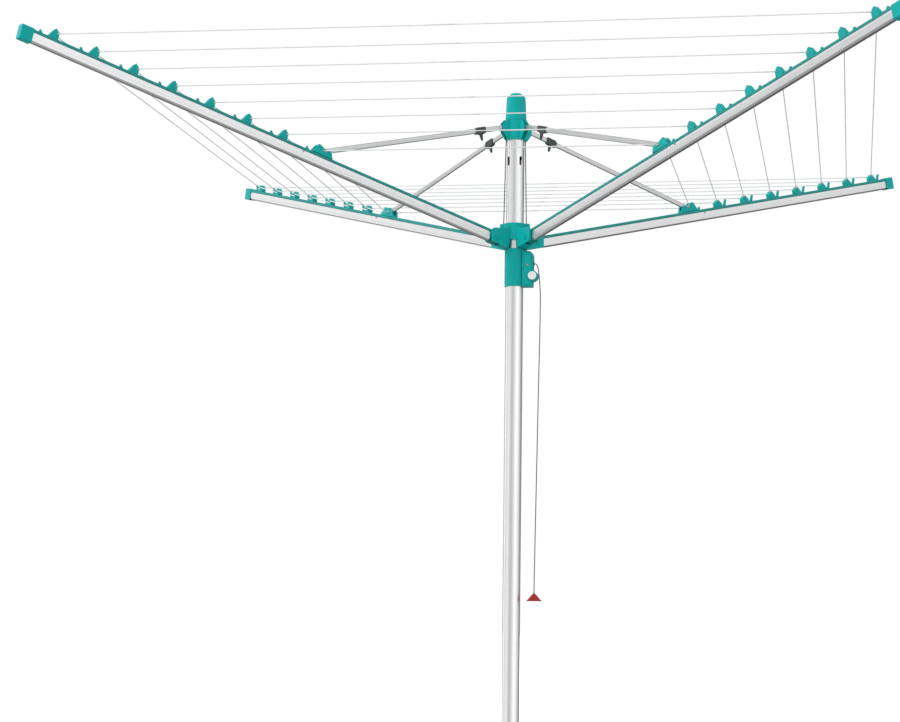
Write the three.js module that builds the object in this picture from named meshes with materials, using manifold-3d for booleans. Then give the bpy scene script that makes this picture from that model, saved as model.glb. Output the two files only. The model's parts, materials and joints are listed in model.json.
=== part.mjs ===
// A rotary clothesline: a mast that turns in a ground sleeve, four arms that fold
// like an umbrella, and one long line strung in square rings through guides on the arms.
// Millimetres, +Z up. The origin is on the mast's axis, at ground level.
import * as THREE from 'three';
import { mergeVertices } from 'three/addons/utils/BufferGeometryUtils.js';
import Module from 'manifold-3d';

const wasm = await Module();
wasm.setup();

// ---------- driving dimensions ----------
const GAP = 0.3;
const ARMS = 4;
const FIRST_AZIMUTH = Math.PI / 4;

const MAST_R = 25;
const MAST_WALL = 2;
const MAST_BOTTOM = -318;
const MAST_TOP = 1838;
const MAST_SLOT_Z = 1680;
const MAST_SLOT_HALF_WIDTH = 4.6;
const MAST_SLOT_HALF_HEIGHT = 13;

const SLEEVE_DEPTH = 350;
const SLEEVE_FLOOR = -330;

const CROWN_BOTTOM = 1740.6;
const CROWN_TOP = 1797.5;
const CROWN_PIVOT_R = 45;
const CROWN_PIVOT_Z = 1773;
const LUG_HALF = 8.4;
const LUG_GAP_HALF = 5.2;
const TRUNNION_R = 3;
const TRUNNION_HALF = 6.9;
const TRUNNION_NOTCH = 4.3;
const NOTCH_REACH = 7.2;
const CAP_TOP = 1876;

const HUB_BOTTOM = 1430;
const HUB_TOP = 1502;
const HINGE_R = 70;
const HINGE_Z = 1455;
const HINGE_PIN_R = 4;
const PIN_ROOM = 0.3;
const CLEVIS_HALF = 17;
const CLEVIS_GAP_HALF = 10.7;
const HOIST_CORD_X = 32.5;

const ARM_SLOPE = THREE.MathUtils.degToRad(13.7);
const ARM_START = 24;
const ARM_END = 1480;
const ARM_HALF_WIDTH = 10;
const ARM_UNDERSIDE = -17;
const ARM_TOP = 9;
const ARM_WALL = 1.6;
const RAIL_TOP = 17;
const TIP_CAP_START = 1454;
const TIP_CAP_END = 1487;

const RINGS = 8;
const OUTER_RING_HALF_SIDE = 1007;
const RING_PITCH = 77.6;
const LINE_R = 1.5;
const LINE_LIFT = 29;
const INNER_LINE_LIFT = 26.5;
const LINE_CHANNEL_R = 2.9;
const STEP_SIDE = 7;
const STEP_DROP = 4.5;
const LACED_ARM = 2;
const PRONG_WIDTH = 6;
const LOW_GUIDE = 38;
const HIGH_GUIDE = 43.5;

const BRACKET_PIVOT_U = 592;
const BRACKET_PIVOT_V = 31;
const STRUT_PIN_R = 3;
const STRUT_HALF_WIDTH = 3.5;
const STRUT_HALF_HEIGHT = 7;
const STRUT_WALL = 1.2;
const CLIP_PLACE = 83;
const CLIP_HALF_LENGTH = 18;

const LOCK_BOTTOM = 1322;
const LOCK_R = 28.5;
const BOX_RIGHT = 54;
const BOX_HALF_DEPTH = 19;
const BUTTON_X = 54;
const BUTTON_Z = 1351;
const BUTTON_R = 12.1;
const BOSS_R = 15.3;
const CORD_EXIT_Z = 1389;
const CORD_Y = 8;
const CLEAT_X = 42;
const CLEAT_Z = 1401;
const SCREW_X = 39;
const SCREW_Z = 1382;
const CORD_R = 1.5;
const HANDLE_X = 63;
const HANDLE_TOP = 455;
const HANDLE_BOTTOM = 433;

// where the bracket pivot lies at rest, and the strut that reaches it from the crown
const [slopeCos, slopeSin] = [Math.cos(ARM_SLOPE), Math.sin(ARM_SLOPE)];
const pivotRadius = HINGE_R + BRACKET_PIVOT_U * slopeCos - BRACKET_PIVOT_V * slopeSin;
const pivotHeight = HINGE_Z + BRACKET_PIVOT_U * slopeSin + BRACKET_PIVOT_V * slopeCos;
const STRUT_LENGTH = Math.hypot(pivotRadius - CROWN_PIVOT_R, CROWN_PIVOT_Z - pivotHeight);
const STRUT_SLOPE = Math.atan2(CROWN_PIVOT_Z - pivotHeight, pivotRadius - CROWN_PIVOT_R);

// ---------- materials ----------
const plastic = (color) => new THREE.MeshStandardMaterial({ color, roughness: 0.45, metalness: 0 });
const metal = (color) => new THREE.MeshStandardMaterial({ color, roughness: 0.35, metalness: 0.9 });

const TEAL = plastic(0x0aa59e);
const DARK_TEAL = plastic(0x078078);
const CHARCOAL = plastic(0x3c4242);
const WHITE = plastic(0xf4f6f5);
const RED = plastic(0xb53a30);
const ALUMINIUM = metal(0xc8cacc);
const STEEL = metal(0x8f9396);
const GREY_CORD = plastic(0x7c7f80);
const LINE_PLASTIC = plastic(0xd4d8d8);

// ---------- solids and shapes ----------
function toSolid(geometry) {
  const bare = geometry.clone();
  bare.deleteAttribute('normal');
  bare.deleteAttribute('uv');
  const merged = mergeVertices(bare, 1e-3);
  const triVerts = [];
  const index = merged.index.array;
  for (let i = 0; i < index.length; i += 3) {
    const [a, b, c] = [index[i], index[i + 1], index[i + 2]];
    if (a !== b && b !== c && c !== a) triVerts.push(a, b, c);
  }
  return new wasm.Manifold(new wasm.Mesh({
    numProp: 3,
    vertProperties: merged.attributes.position.array,
    triVerts: new Uint32Array(triVerts),
  }));
}

function toGeometry(solid) {
  const mesh = solid.getMesh();
  const geometry = new THREE.BufferGeometry();
  geometry.setAttribute('position', new THREE.BufferAttribute(mesh.vertProperties, 3));
  geometry.setIndex(new THREE.BufferAttribute(mesh.triVerts, 1));
  return geometry;
}

function join(...geometries) {
  return toGeometry(geometries.map(toSolid).reduce((whole, piece) => whole.add(piece)));
}

function cut(base, ...tools) {
  return toGeometry(tools.map(toSolid).reduce((whole, tool) => whole.subtract(tool), toSolid(base)));
}

function block(x0, x1, y0, y1, z0, z1) {
  const box = new THREE.BoxGeometry(x1 - x0, y1 - y0, z1 - z0);
  return box.translate((x0 + x1) / 2, (y0 + y1) / 2, (z0 + z1) / 2);
}

const outline = (points) => new THREE.Shape(points.map(([x, y]) => new THREE.Vector2(x, y)));

// an outline drawn in X and Z, given a thickness along Y and centred on y = middle
function plate(points, thickness, middle = 0) {
  const flat = new THREE.ExtrudeGeometry(outline(points), { depth: thickness, bevelEnabled: false });
  return flat.translate(0, 0, -thickness / 2).rotateX(Math.PI / 2).translate(0, middle, 0);
}

// an outline drawn in Y and Z, run along X from x0 to x1
function bar(shape, x0, x1) {
  const run = new THREE.ExtrudeGeometry(shape, { depth: x1 - x0, bevelEnabled: false, curveSegments: 2 });
  const turn = new THREE.Matrix4().set(0, 0, 1, 0, 1, 0, 0, 0, 0, 1, 0, 0, 0, 0, 0, 1);
  return run.applyMatrix4(turn).translate(x0, 0, 0);
}

// a profile of radius and height pairs, turned about the Z axis
function turned(profile, sides = 24) {
  const points = profile.map(([r, z]) => new THREE.Vector2(r, z));
  return new THREE.LatheGeometry(points, sides).rotateX(Math.PI / 2);
}

// the same, about a line along Y (or X) through x, z
function turnedAlongY(profile, x, z, sides = 16) {
  const lathe = new THREE.LatheGeometry(profile.map(([r, y]) => new THREE.Vector2(r, y)), sides);
  return lathe.translate(x, 0, z);
}

function turnedAlongX(profile, y, z, sides = 16) {
  const lathe = new THREE.LatheGeometry(profile.map(([r, x]) => new THREE.Vector2(r, x)), sides);
  return lathe.rotateZ(-Math.PI / 2).translate(0, y, z);
}

function rodAlongY(radius, y0, y1, x, z, sides = 12) {
  return turnedAlongY([[0, y0], [radius, y0], [radius, y1], [0, y1]], x, z, sides);
}

function rodAlongX(radius, x0, x1, y, z, sides = 16) {
  return turnedAlongX([[0, x0], [radius, x0], [radius, x1], [0, x1]], y, z, sides);
}

function rodAlongZ(radius, z0, z1, x = 0, y = 0, sides = 24) {
  return turned([[0, z0], [radius, z0], [radius, z1], [0, z1]], sides).translate(x, y, 0);
}

function ring(inner, outer, z0, z1, sides = 24) {
  return turned([[inner, z0], [outer, z0], [outer, z1], [inner, z1], [inner, z0]], sides);
}

// a rectangle in Y and Z with rounded corners: one radius for the lower pair, one for the upper
function roundedRectangle(Kind, halfWidth, low, high, lowRadius, highRadius) {
  const path = new Kind();
  path.moveTo(-halfWidth + lowRadius, low);
  path.lineTo(halfWidth - lowRadius, low);
  path.absarc(halfWidth - lowRadius, low + lowRadius, lowRadius, -Math.PI / 2, 0);
  path.lineTo(halfWidth, high - highRadius);
  path.absarc(halfWidth - highRadius, high - highRadius, highRadius, 0, Math.PI / 2);
  path.lineTo(-halfWidth + highRadius, high);
  path.absarc(-halfWidth + highRadius, high - highRadius, highRadius, Math.PI / 2, Math.PI);
  path.lineTo(-halfWidth, low + lowRadius);
  path.absarc(-halfWidth + lowRadius, low + lowRadius, lowRadius, Math.PI, Math.PI * 1.5);
  return path;
}

function hollowSection(halfWidth, low, high, wall, lowRadius, highRadius) {
  const shape = roundedRectangle(THREE.Shape, halfWidth, low, high, lowRadius, highRadius);
  const hole = roundedRectangle(
    THREE.Path, halfWidth - wall, low + wall, high - wall,
    Math.max(lowRadius - wall, 0.5), Math.max(highRadius - wall, 0.5),
  );
  shape.holes.push(hole);
  return shape;
}

function circlePoints(radius, sides, x = 0, z = 0, start = 0, sweep = Math.PI * 2) {
  const points = [];
  const closed = sweep >= Math.PI * 2;
  const count = closed ? sides : sides + 1;
  for (let i = 0; i < count; i += 1) {
    const angle = start + sweep * i / sides;
    points.push([x + radius * Math.cos(angle), z + radius * Math.sin(angle)]);
  }
  return points;
}

// a path that visits its points one by one, so that bends stay where they are drawn
class PointPath extends THREE.Curve {
  constructor(points) {
    super();
    this.points = points;
  }

  getPointAt(share, target = new THREE.Vector3()) {
    return target.copy(this.points[Math.round(share * (this.points.length - 1))]);
  }

  getTangentAt(share, target = new THREE.Vector3()) {
    const last = this.points.length - 1;
    const here = Math.round(share * last);
    const before = this.points[Math.max(here - 1, 0)];
    const after = this.points[Math.min(here + 1, last)];
    return target.copy(after).sub(before).normalize();
  }
}

function tube(points, radius, sides) {
  const path = new PointPath(points);
  const section = outline(circlePoints(radius, sides));
  const settings = { steps: points.length - 1, extrudePath: path, bevelEnabled: false };
  return new THREE.ExtrudeGeometry(section, settings);
}

function smoothTube(points, steps, radius, sides) {
  const curve = new THREE.CatmullRomCurve3(points.map(([x, y, z]) => new THREE.Vector3(x, y, z)));
  return tube(curve.getSpacedPoints(steps), radius, sides);
}

// ---------- the scene graph ----------
const clothesline = new THREE.Group();

function place(parent, name, geometry, material) {
  const mesh = new THREE.Mesh(geometry, material);
  mesh.name = name;
  parent.add(mesh);
}

function azimuthGroup(number) {
  const group = new THREE.Group();
  group.rotation.z = FIRST_AZIMUTH + (number - 1) * 2 * Math.PI / ARMS;
  clothesline.add(group);
  return group;
}

// ---------- the ground sleeve ----------
function groundSleeve() {
  const body = turned([
    [0, -SLEEVE_DEPTH], [29, -SLEEVE_DEPTH], [30, -SLEEVE_DEPTH + 5], [30, 0], [52, 0], [52, 4],
    [34.5, 8], [33, 42], [31.5, 44], [MAST_R + 0.7, 44], [MAST_R + 0.6, SLEEVE_FLOOR], [0, SLEEVE_FLOOR],
  ]);
  const fins = [];
  for (let i = 0; i < 4; i += 1) {
    fins.push(block(29, 42, -2, 2, -SLEEVE_DEPTH + 10, -20).rotateZ(i * Math.PI / 2));
  }
  return join(body, ...fins);
}

// ---------- the mast ----------
function mastTube() {
  const slots = [];
  for (let i = 0; i < ARMS; i += 1) {
    const slot = block(
      MAST_R - 6, MAST_R + 2, -MAST_SLOT_HALF_WIDTH, MAST_SLOT_HALF_WIDTH,
      MAST_SLOT_Z - MAST_SLOT_HALF_HEIGHT, MAST_SLOT_Z + MAST_SLOT_HALF_HEIGHT,
    );
    slots.push(slot.rotateZ(FIRST_AZIMUTH + i * Math.PI / 2));
  }
  return cut(ring(MAST_R - MAST_WALL, MAST_R, MAST_BOTTOM, MAST_TOP, 32), ...slots);
}

function mastFootPlug() {
  const bore = MAST_R - MAST_WALL - 0.4;
  return turned([
    [0, SLEEVE_FLOOR + GAP], [6, SLEEVE_FLOOR + GAP], [9, MAST_BOTTOM - 8], [24.8, MAST_BOTTOM - 6],
    [24.8, MAST_BOTTOM - GAP], [bore, MAST_BOTTOM - GAP], [bore, MAST_BOTTOM + 28], [0, MAST_BOTTOM + 28],
  ]);
}

function topCap() {
  const inside = MAST_R + 0.4;
  return turned([
    [0, MAST_TOP + 3], [inside, MAST_TOP + 3], [inside, CROWN_TOP + GAP],
    [30.2, CROWN_TOP + GAP], [29.2, 1815], [26.6, 1862], [25.2, 1866],
    [14.5, CAP_TOP - 1], [13, CAP_TOP], [0, CAP_TOP],
  ]);
}

function crown() {
  const core = turned([
    [27, CROWN_BOTTOM], [29.4, CROWN_BOTTOM], [30.2, 1752],
    [30.2, CROWN_TOP], [27, CROWN_TOP], [27, CROWN_BOTTOM],
  ]);
  const lugOutline = [
    [26, CROWN_BOTTOM], [33, CROWN_BOTTOM], [47.6, 1759], [50, 1766], [50, 1779], [47, 1786],
    [36, CROWN_TOP - 0.5], [26, CROWN_TOP - 0.5],
  ];
  const lugs = [];
  const cuts = [];
  for (let i = 0; i < ARMS; i += 1) {
    const azimuth = FIRST_AZIMUTH + i * Math.PI / 2;
    const gap = block(32.5, 60, -LUG_GAP_HALF, LUG_GAP_HALF, CROWN_BOTTOM - 2, CROWN_TOP + 2);
    const seat = rodAlongY(TRUNNION_NOTCH, -NOTCH_REACH, NOTCH_REACH, CROWN_PIVOT_R, CROWN_PIVOT_Z);
    const mouth = block(
      CROWN_PIVOT_R - TRUNNION_NOTCH, CROWN_PIVOT_R + TRUNNION_NOTCH, -NOTCH_REACH, NOTCH_REACH,
      CROWN_PIVOT_Z, CROWN_TOP + 2,
    );
    lugs.push(plate(lugOutline, 2 * LUG_HALF).rotateZ(azimuth));
    cuts.push(gap.rotateZ(azimuth), seat.rotateZ(azimuth), mouth.rotateZ(azimuth));
  }
  const bore = rodAlongZ(MAST_R + 0.4, CROWN_BOTTOM - 2, CROWN_TOP + 2);
  return cut(join(core, ring(26, 29, CROWN_BOTTOM, CROWN_TOP - 0.5), ...lugs), bore, ...cuts);
}

function hoistCord(side) {
  const top = new THREE.Vector3(side * 27.6, 0, CROWN_BOTTOM - GAP);
  const bottom = new THREE.Vector3(side * HOIST_CORD_X, 0, HUB_TOP + GAP);
  return tube([top, top.clone().lerp(bottom, 0.5), bottom], CORD_R, 8);
}

// ---------- the hub ----------
function hub() {
  const collar = ring(26, 32, HUB_BOTTOM, HUB_TOP);
  const ears = [0, Math.PI].map((turn) => block(28, 42, -7, 7, 1438, HUB_TOP).rotateZ(turn));
  const earHoles = [-1, 1].map((side) => (
    rodAlongZ(3, HUB_TOP - 12, HUB_TOP + 2, side * HOIST_CORD_X, 0, 12)
  ));
  const clevisOutline = [
    [26, HUB_BOTTOM], [35, HUB_BOTTOM], [91, 1443.7], [91, 1473],
    [85, 1481], [42, 1484], [34, 1490], [26, 1490],
  ];
  const clevises = [];
  const cuts = [];
  for (let i = 0; i < ARMS; i += 1) {
    const azimuth = FIRST_AZIMUTH + i * Math.PI / 2;
    clevises.push(plate(clevisOutline, 2 * CLEVIS_HALF).rotateZ(azimuth));
    cuts.push(block(37, 95, -CLEVIS_GAP_HALF, CLEVIS_GAP_HALF, 1437.5, 1500).rotateZ(azimuth));
    cuts.push(block(56, 95, -CLEVIS_GAP_HALF, CLEVIS_GAP_HALF, 1425, 1440).rotateZ(azimuth));
    cuts.push(rodAlongY(HINGE_PIN_R + PIN_ROOM, -20, 20, HINGE_R, HINGE_Z).rotateZ(azimuth));
  }
  const window = plate([[-14, 1428], [14, 1428], [9, 1454], [-9, 1454]], 24, -34);
  const bore = rodAlongZ(MAST_R + 2.6, HUB_BOTTOM - 2, HUB_TOP + 2);
  return cut(join(collar, ...ears, ...clevises), bore, window, ...earHoles, ...cuts);
}

const hubBush = () => ring(MAST_R + 0.35, MAST_R + 2.3, 1457, 1500);

// ---------- the cord lock ----------
function lockHousing() {
  const sleeve = ring(MAST_R, LOCK_R, LOCK_BOTTOM, HUB_BOTTOM - GAP);
  const corner = circlePoints(12, 4, BOX_RIGHT - 12, 1410, 0, Math.PI / 2);
  const boxOutline = [[22, LOCK_BOTTOM], [BOX_RIGHT, LOCK_BOTTOM], ...corner, [22, 1422]];
  const box = plate(boxOutline, 2 * BOX_HALF_DEPTH);
  const boss = rodAlongY(BOSS_R, -24, 4, BUTTON_X, BUTTON_Z, 24);
  const cavity = block(30.5, 49.5, -BOX_HALF_DEPTH - 1, 14, 1374, 1414);
  const link = block(40, 51, -4, 10, 1350, 1376);
  const pocket = rodAlongY(BUTTON_R + 0.5, -25, -12, BUTTON_X, BUTTON_Z, 24);
  const stemHole = rodAlongY(5, -13, 2, BUTTON_X, BUTTON_Z);
  const glandHole = rodAlongX(5.3, 48, BOX_RIGHT + 2, CORD_Y, CORD_EXIT_Z);
  const pinHole = rodAlongY(2.3, 13, 17.5, CLEAT_X, CLEAT_Z);
  const bore = rodAlongZ(MAST_R + 0.7, LOCK_BOTTOM - 2, HUB_BOTTOM + 2);
  const shell = cut(join(sleeve, box, boss), bore, cavity, link, pocket, stemHole, glandHole, pinHole);
  const post = rodAlongY(4.5, -BOX_HALF_DEPTH, 15, SCREW_X, SCREW_Z);
  const screwHole = rodAlongY(2.1, -BOX_HALF_DEPTH - 1, -4, SCREW_X, SCREW_Z);
  return cut(join(shell, post), screwHole);
}

function lockBoxCover() {
  const corner = circlePoints(10, 4, 41.5, 1408, 0, Math.PI / 2);
  const face = plate([[29, 1326], [51.5, 1326], ...corner, [29, 1418]], 3, -BOX_HALF_DEPTH - GAP - 1.5);
  const bossRoom = rodAlongY(BOSS_R + 0.5, -26, -15, BUTTON_X, BUTTON_Z, 24);
  return cut(face, bossRoom, rodAlongY(2.1, -26, -15, SCREW_X, SCREW_Z));
}

function coverScrew() {
  const back = -BOX_HALF_DEPTH - 2 * GAP - 3;
  const profile = [[0, back - 1.6], [3, back - 1.6], [3.8, back], [1.8, back], [1.8, -6], [0, -6]];
  return turnedAlongY(profile, SCREW_X, SCREW_Z);
}

function cordGland() {
  const face = BOX_RIGHT + GAP;
  const profile = [[2, 48.5], [5, 48.5], [5, face], [6.8, face], [6, 56], [2, 56], [2, 48.5]];
  return turnedAlongX(profile, CORD_Y, CORD_EXIT_Z);
}

const cleatPin = () => rodAlongY(2, -18.5, 17.2, CLEAT_X, CLEAT_Z);

function cordCleat() {
  const cam = [
    ...circlePoints(6.2, 10, CLEAT_X, CLEAT_Z, -0.5, Math.PI * 1.1),
    [34.5, 1397], [33.5, 1391], [37, 1388.5], [41, 1390.5],
  ];
  return cut(plate(cam, 8, CORD_Y), rodAlongY(2.25, CORD_Y - 6, CORD_Y + 6, CLEAT_X, CLEAT_Z));
}

function releaseButton() {
  const profile = [
    [0, -28.4], [9, -28.2], [BUTTON_R - 0.6, -27.2], [BUTTON_R, -26],
    [BUTTON_R, -20], [4.5, -20], [4.5, -5], [0, -5],
  ];
  return turnedAlongY(profile, BUTTON_X, BUTTON_Z, 24);
}

function buttonSpring() {
  const turns = 2.5;
  const stepsPerTurn = 10;
  const points = [];
  for (let i = 0; i <= turns * stepsPerTurn; i += 1) {
    const angle = 2 * Math.PI * i / stepsPerTurn;
    const y = -19 + 6 * i / (turns * stepsPerTurn);
    points.push(new THREE.Vector3(BUTTON_X + 8 * Math.cos(angle), y, BUTTON_Z + 8 * Math.sin(angle)));
  }
  return tube(points, 0.7, 4);
}

// the free pull cord: straight out of its gland, over, and down to the handle
function pullCord() {
  const route = [
    [56.3, CORD_EXIT_Z], [60.5, 1388], [64.6, 1382], [67.2, 1371], [70, 1348], [72.5, 1318],
    [73.6, 1285], [73.4, 1240], [72.4, 1160], [70.6, 1040], [68.6, 900], [66.6, 750],
    [64.6, 600], [63.3, 500], [HANDLE_X, HANDLE_TOP + GAP],
  ];
  return smoothTube(route.map(([x, z]) => [x, CORD_Y, z]), 52, CORD_R, 8);
}

function pullHandle() {
  const profile = [
    [0, HANDLE_BOTTOM], [20.4, HANDLE_BOTTOM], [21.6, 433.6], [21.6, 435.2], [18.5, 437.5],
    [11, 445.5], [4.6, 452.5], [2.6, HANDLE_TOP], [0, HANDLE_TOP],
  ];
  return turned(profile, 28).translate(HANDLE_X, CORD_Y, 0);
}

// ---------- the line ----------
const ringRadius = (number) => Math.SQRT2 * (OUTER_RING_HALF_SIDE - number * RING_PITCH);
const lineLift = (number) => (number === RINGS - 1 ? INNER_LINE_LIFT : LINE_LIFT);

// how far along the arm a ring's guide sits
function ringPlace(number) {
  const reach = ringRadius(number) - HINGE_R + lineLift(number) * Math.sin(ARM_SLOPE);
  return reach / Math.cos(ARM_SLOPE);
}

function ringHeight(number) {
  return HINGE_Z + ringPlace(number) * Math.sin(ARM_SLOPE) + lineLift(number) * Math.cos(ARM_SLOPE);
}

// a plain bend at an arm: in along one side of the ring and out along the next
function bendPoints(number, reach = 0) {
  const bend = 5;
  const r = ringRadius(number);
  const z = ringHeight(number);
  const points = [[r - bend, -bend, z], [r - bend, bend, z]];
  if (reach > 0) {
    points.unshift([r - reach, -reach, z]);
    points.push([r - reach, reach, z]);
  }
  return points;
}

// the laced arm: a ring starts beside its guide, and ends through it on the way to the next ring
function startPoints(number) {
  const r = ringRadius(number);
  const z = ringHeight(number);
  const low = z - STEP_DROP;
  return [[r + 14, STEP_SIDE, low + 2.5], [r - 4, STEP_SIDE, low], [r - 10, 10.6, low], [r - 70, 70, z]];
}

function endPoints(number) {
  const r = ringRadius(number);
  const z = ringHeight(number);
  const points = [[r - 20, -20, z], [r - 1.5, -1.5, z]];
  if (number < RINGS - 1) {
    points.push([r + 0.8, 3, z], [r - 2.7, STEP_SIDE, z], [r - 9, STEP_SIDE, z - 2]);
  }
  return points;
}

function atAzimuth(points, number) {
  const azimuth = FIRST_AZIMUTH + (number - 1) * 2 * Math.PI / ARMS;
  const up = new THREE.Vector3(0, 0, 1);
  return points.map(([x, y, z]) => new THREE.Vector3(x, y, z).applyAxisAngle(up, azimuth));
}

function wholeLine() {
  const points = [];
  for (let number = 0; number < RINGS; number += 1) {
    points.push(...atAzimuth(startPoints(number), LACED_ARM));
    for (let i = 1; i < ARMS; i += 1) {
      points.push(...atAzimuth(bendPoints(number), LACED_ARM + i));
    }
    points.push(...atAzimuth(endPoints(number), LACED_ARM));
  }
  return tube(points, LINE_R, 6);
}

// the stretches of line that pass an arm's guides, from one ring's number to another's
function routesAtArm(armNumber, first, last) {
  const routes = [];
  for (let number = first; number <= last; number += 1) {
    if (armNumber !== LACED_ARM) {
      routes.push(bendPoints(number, 24));
    } else if (number === 0) {
      routes.push(startPoints(0), [...endPoints(0), ...startPoints(1)]);
    } else {
      routes.push([...endPoints(number - 1), ...startPoints(number)]);
      const onward = number < RINGS - 1 ? startPoints(number + 1) : [];
      routes.push([...endPoints(number), ...onward]);
    }
  }
  return routes;
}

// the room that the line takes in the guides, in the arm's own frame
function lineRooms(armNumber, first, last) {
  return routesAtArm(armNumber, first, last).map((route) => {
    const points = route.map(([x, y, z]) => new THREE.Vector3(x, y, z));
    return tube(points, LINE_CHANNEL_R, 4).translate(-HINGE_R, 0, -HINGE_Z).rotateY(ARM_SLOPE);
  });
}

// ---------- one arm, in its own frame: X along the arm from its hinge, Z across it ----------
function armTube() {
  const section = hollowSection(ARM_HALF_WIDTH, ARM_UNDERSIDE, ARM_TOP, ARM_WALL, 6, 1.5);
  return bar(section, ARM_START, ARM_END);
}

// a wedge that the line runs through; its highest corner is peak above the arm's own line
function guideBlock(u, peak) {
  const foot = RAIL_TOP - 1;
  const shoulder = peak - 10;
  return plate([[u - 12, foot], [u - 12.5, shoulder], [u - 1, peak], [u + 11, 24], [u + 12, foot]], 16);
}

function prong(u) {
  const foot = RAIL_TOP - 1;
  return plate([[u + 21, foot], [u + 29, foot], [u + 36, 33], [u + 34, 36], [u + 31, 35]], PRONG_WIDTH);
}

function shortProng(u) {
  const foot = RAIL_TOP - 1;
  return plate([[u + 26, foot], [u + 36, foot], [u + 38, 26], [u + 35, 26.5]], PRONG_WIDTH);
}

function lineRail(armNumber) {
  const strip = bar(outline([
    [-10, ARM_TOP + GAP], [10, ARM_TOP + GAP], [10, 15], [8, RAIL_TOP], [-8, RAIL_TOP], [-10, 15],
  ]), ARM_START, ARM_END);
  const added = [shortProng(ringPlace(RINGS - 1))];
  const highGuides = armNumber > 2;
  for (let number = 0; number < RINGS - 1; number += 1) {
    const u = ringPlace(number);
    added.push(guideBlock(u, highGuides ? HIGH_GUIDE : LOW_GUIDE), highGuides ? shortProng(u) : prong(u));
  }
  return cut(join(strip, ...added), ...lineRooms(armNumber, 0, RINGS - 2));
}

function tipCap() {
  const outer = bar(outline([
    [-10.2, -18.6], [10.2, -18.6], [11.7, -17], [11.7, 17.2],
    [10.2, 18.8], [-10.2, 18.8], [-11.7, 17.2], [-11.7, -17],
  ]), TIP_CAP_START, TIP_CAP_END);
  const inside = block(
    TIP_CAP_START - 4, ARM_END + 2, -10.4, 10.4, ARM_UNDERSIDE - 0.4, RAIL_TOP + 0.4,
  );
  return cut(outer, inside);
}

function strutBracket(armNumber) {
  const side = plate([
    [630, RAIL_TOP + GAP], [628, 23], [617, 42], [612, 42.5], [598, 36.5], [578, 35.5], [573, 32],
    [567, RAIL_TOP + GAP],
  ], 20.8);
  const slot = block(560, 640, -4.2, 4.2, 22.5, 50);
  const pinHole = rodAlongY(STRUT_PIN_R + PIN_ROOM, -12, 12, BRACKET_PIVOT_U, BRACKET_PIVOT_V);
  return cut(side, slot, pinHole, ...lineRooms(armNumber, RINGS - 1, RINGS - 1));
}

function armKnuckle() {
  const eye = rodAlongY(13, -10.3, 10.3, 0, 0, 16);
  const body = block(0, ARM_START - 0.4, -10, 10, -16, 12);
  const [low, high] = [ARM_UNDERSIDE + ARM_WALL + 0.4, ARM_TOP - ARM_WALL - 0.4];
  const plug = bar(outline([
    [-4, low], [4, low], [8, low + 4.2], [8, high], [-8, high], [-8, low + 4.2],
  ]), 10, 62);
  return cut(join(eye, body, plug), rodAlongY(HINGE_PIN_R + PIN_ROOM, -12, 12, 0, 0));
}

function headedPin(radius, half, headRadius, head) {
  const end = half + head;
  const profile = [
    [0, -end], [headRadius - 1, -end], [headRadius, -half], [radius, -half],
    [radius, half], [headRadius, half], [headRadius - 1, end], [0, end],
  ];
  return turnedAlongY(profile, 0, 0, 12);
}

// ---------- one strut, in its own frame: X from the crown pivot to the bracket pivot ----------
function strut() {
  const corner = 2.4;
  const section = hollowSection(
    STRUT_HALF_WIDTH, -STRUT_HALF_HEIGHT, STRUT_HALF_HEIGHT, STRUT_WALL, corner, corner,
  );
  const tubePart = bar(section, 14, STRUT_LENGTH - 16);
  const end = plate([
    ...circlePoints(STRUT_HALF_HEIGHT, 12, STRUT_LENGTH, 0, -Math.PI / 2, Math.PI),
    [STRUT_LENGTH - 22, STRUT_HALF_HEIGHT], [STRUT_LENGTH - 22, -STRUT_HALF_HEIGHT],
  ], 2 * STRUT_HALF_WIDTH);
  return cut(join(tubePart, end), rodAlongY(STRUT_PIN_R + PIN_ROOM, -6, 6, STRUT_LENGTH, 0));
}

function strutHead() {
  const round = rodAlongY(6.5, -4, 4, 0, 0, 16);
  const neck = block(0, 13.6, -4, 4, -6.2, 6.2);
  const plug = block(10, 36, -1.9, 1.9, -5.4, 5.4);
  return join(round, neck, plug, rodAlongY(TRUNNION_R, -TRUNNION_HALF, TRUNNION_HALF, 0, 0));
}

// a snap-on clip with a peg for a coat hanger, open on one side
function hangerClip(openSide) {
  const [from, to] = [CLIP_PLACE - CLIP_HALF_LENGTH, CLIP_PLACE + CLIP_HALF_LENGTH];
  const body = plate([
    [from + 4, -9.4], [to, -9.4], [to - 1, 5], [to - 6, 9.4], [from, 9.4], [from + 1, -5],
  ], 11.4);
  const peg = plate([
    [CLIP_PLACE - 7, -8.6], [CLIP_PLACE + 5, -8.6],
    [CLIP_PLACE + 1, -27], [CLIP_PLACE - 1, -29], [CLIP_PLACE - 3, -27],
  ], 5);
  const tunnel = block(from - 5, to + 5, -3.9, 3.9, -7.4, 7.4);
  const window = block(from + 6, to - 7, 0, 8 * openSide, -4.5, 4.5);
  return cut(join(body, peg), tunnel, window);
}

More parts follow.
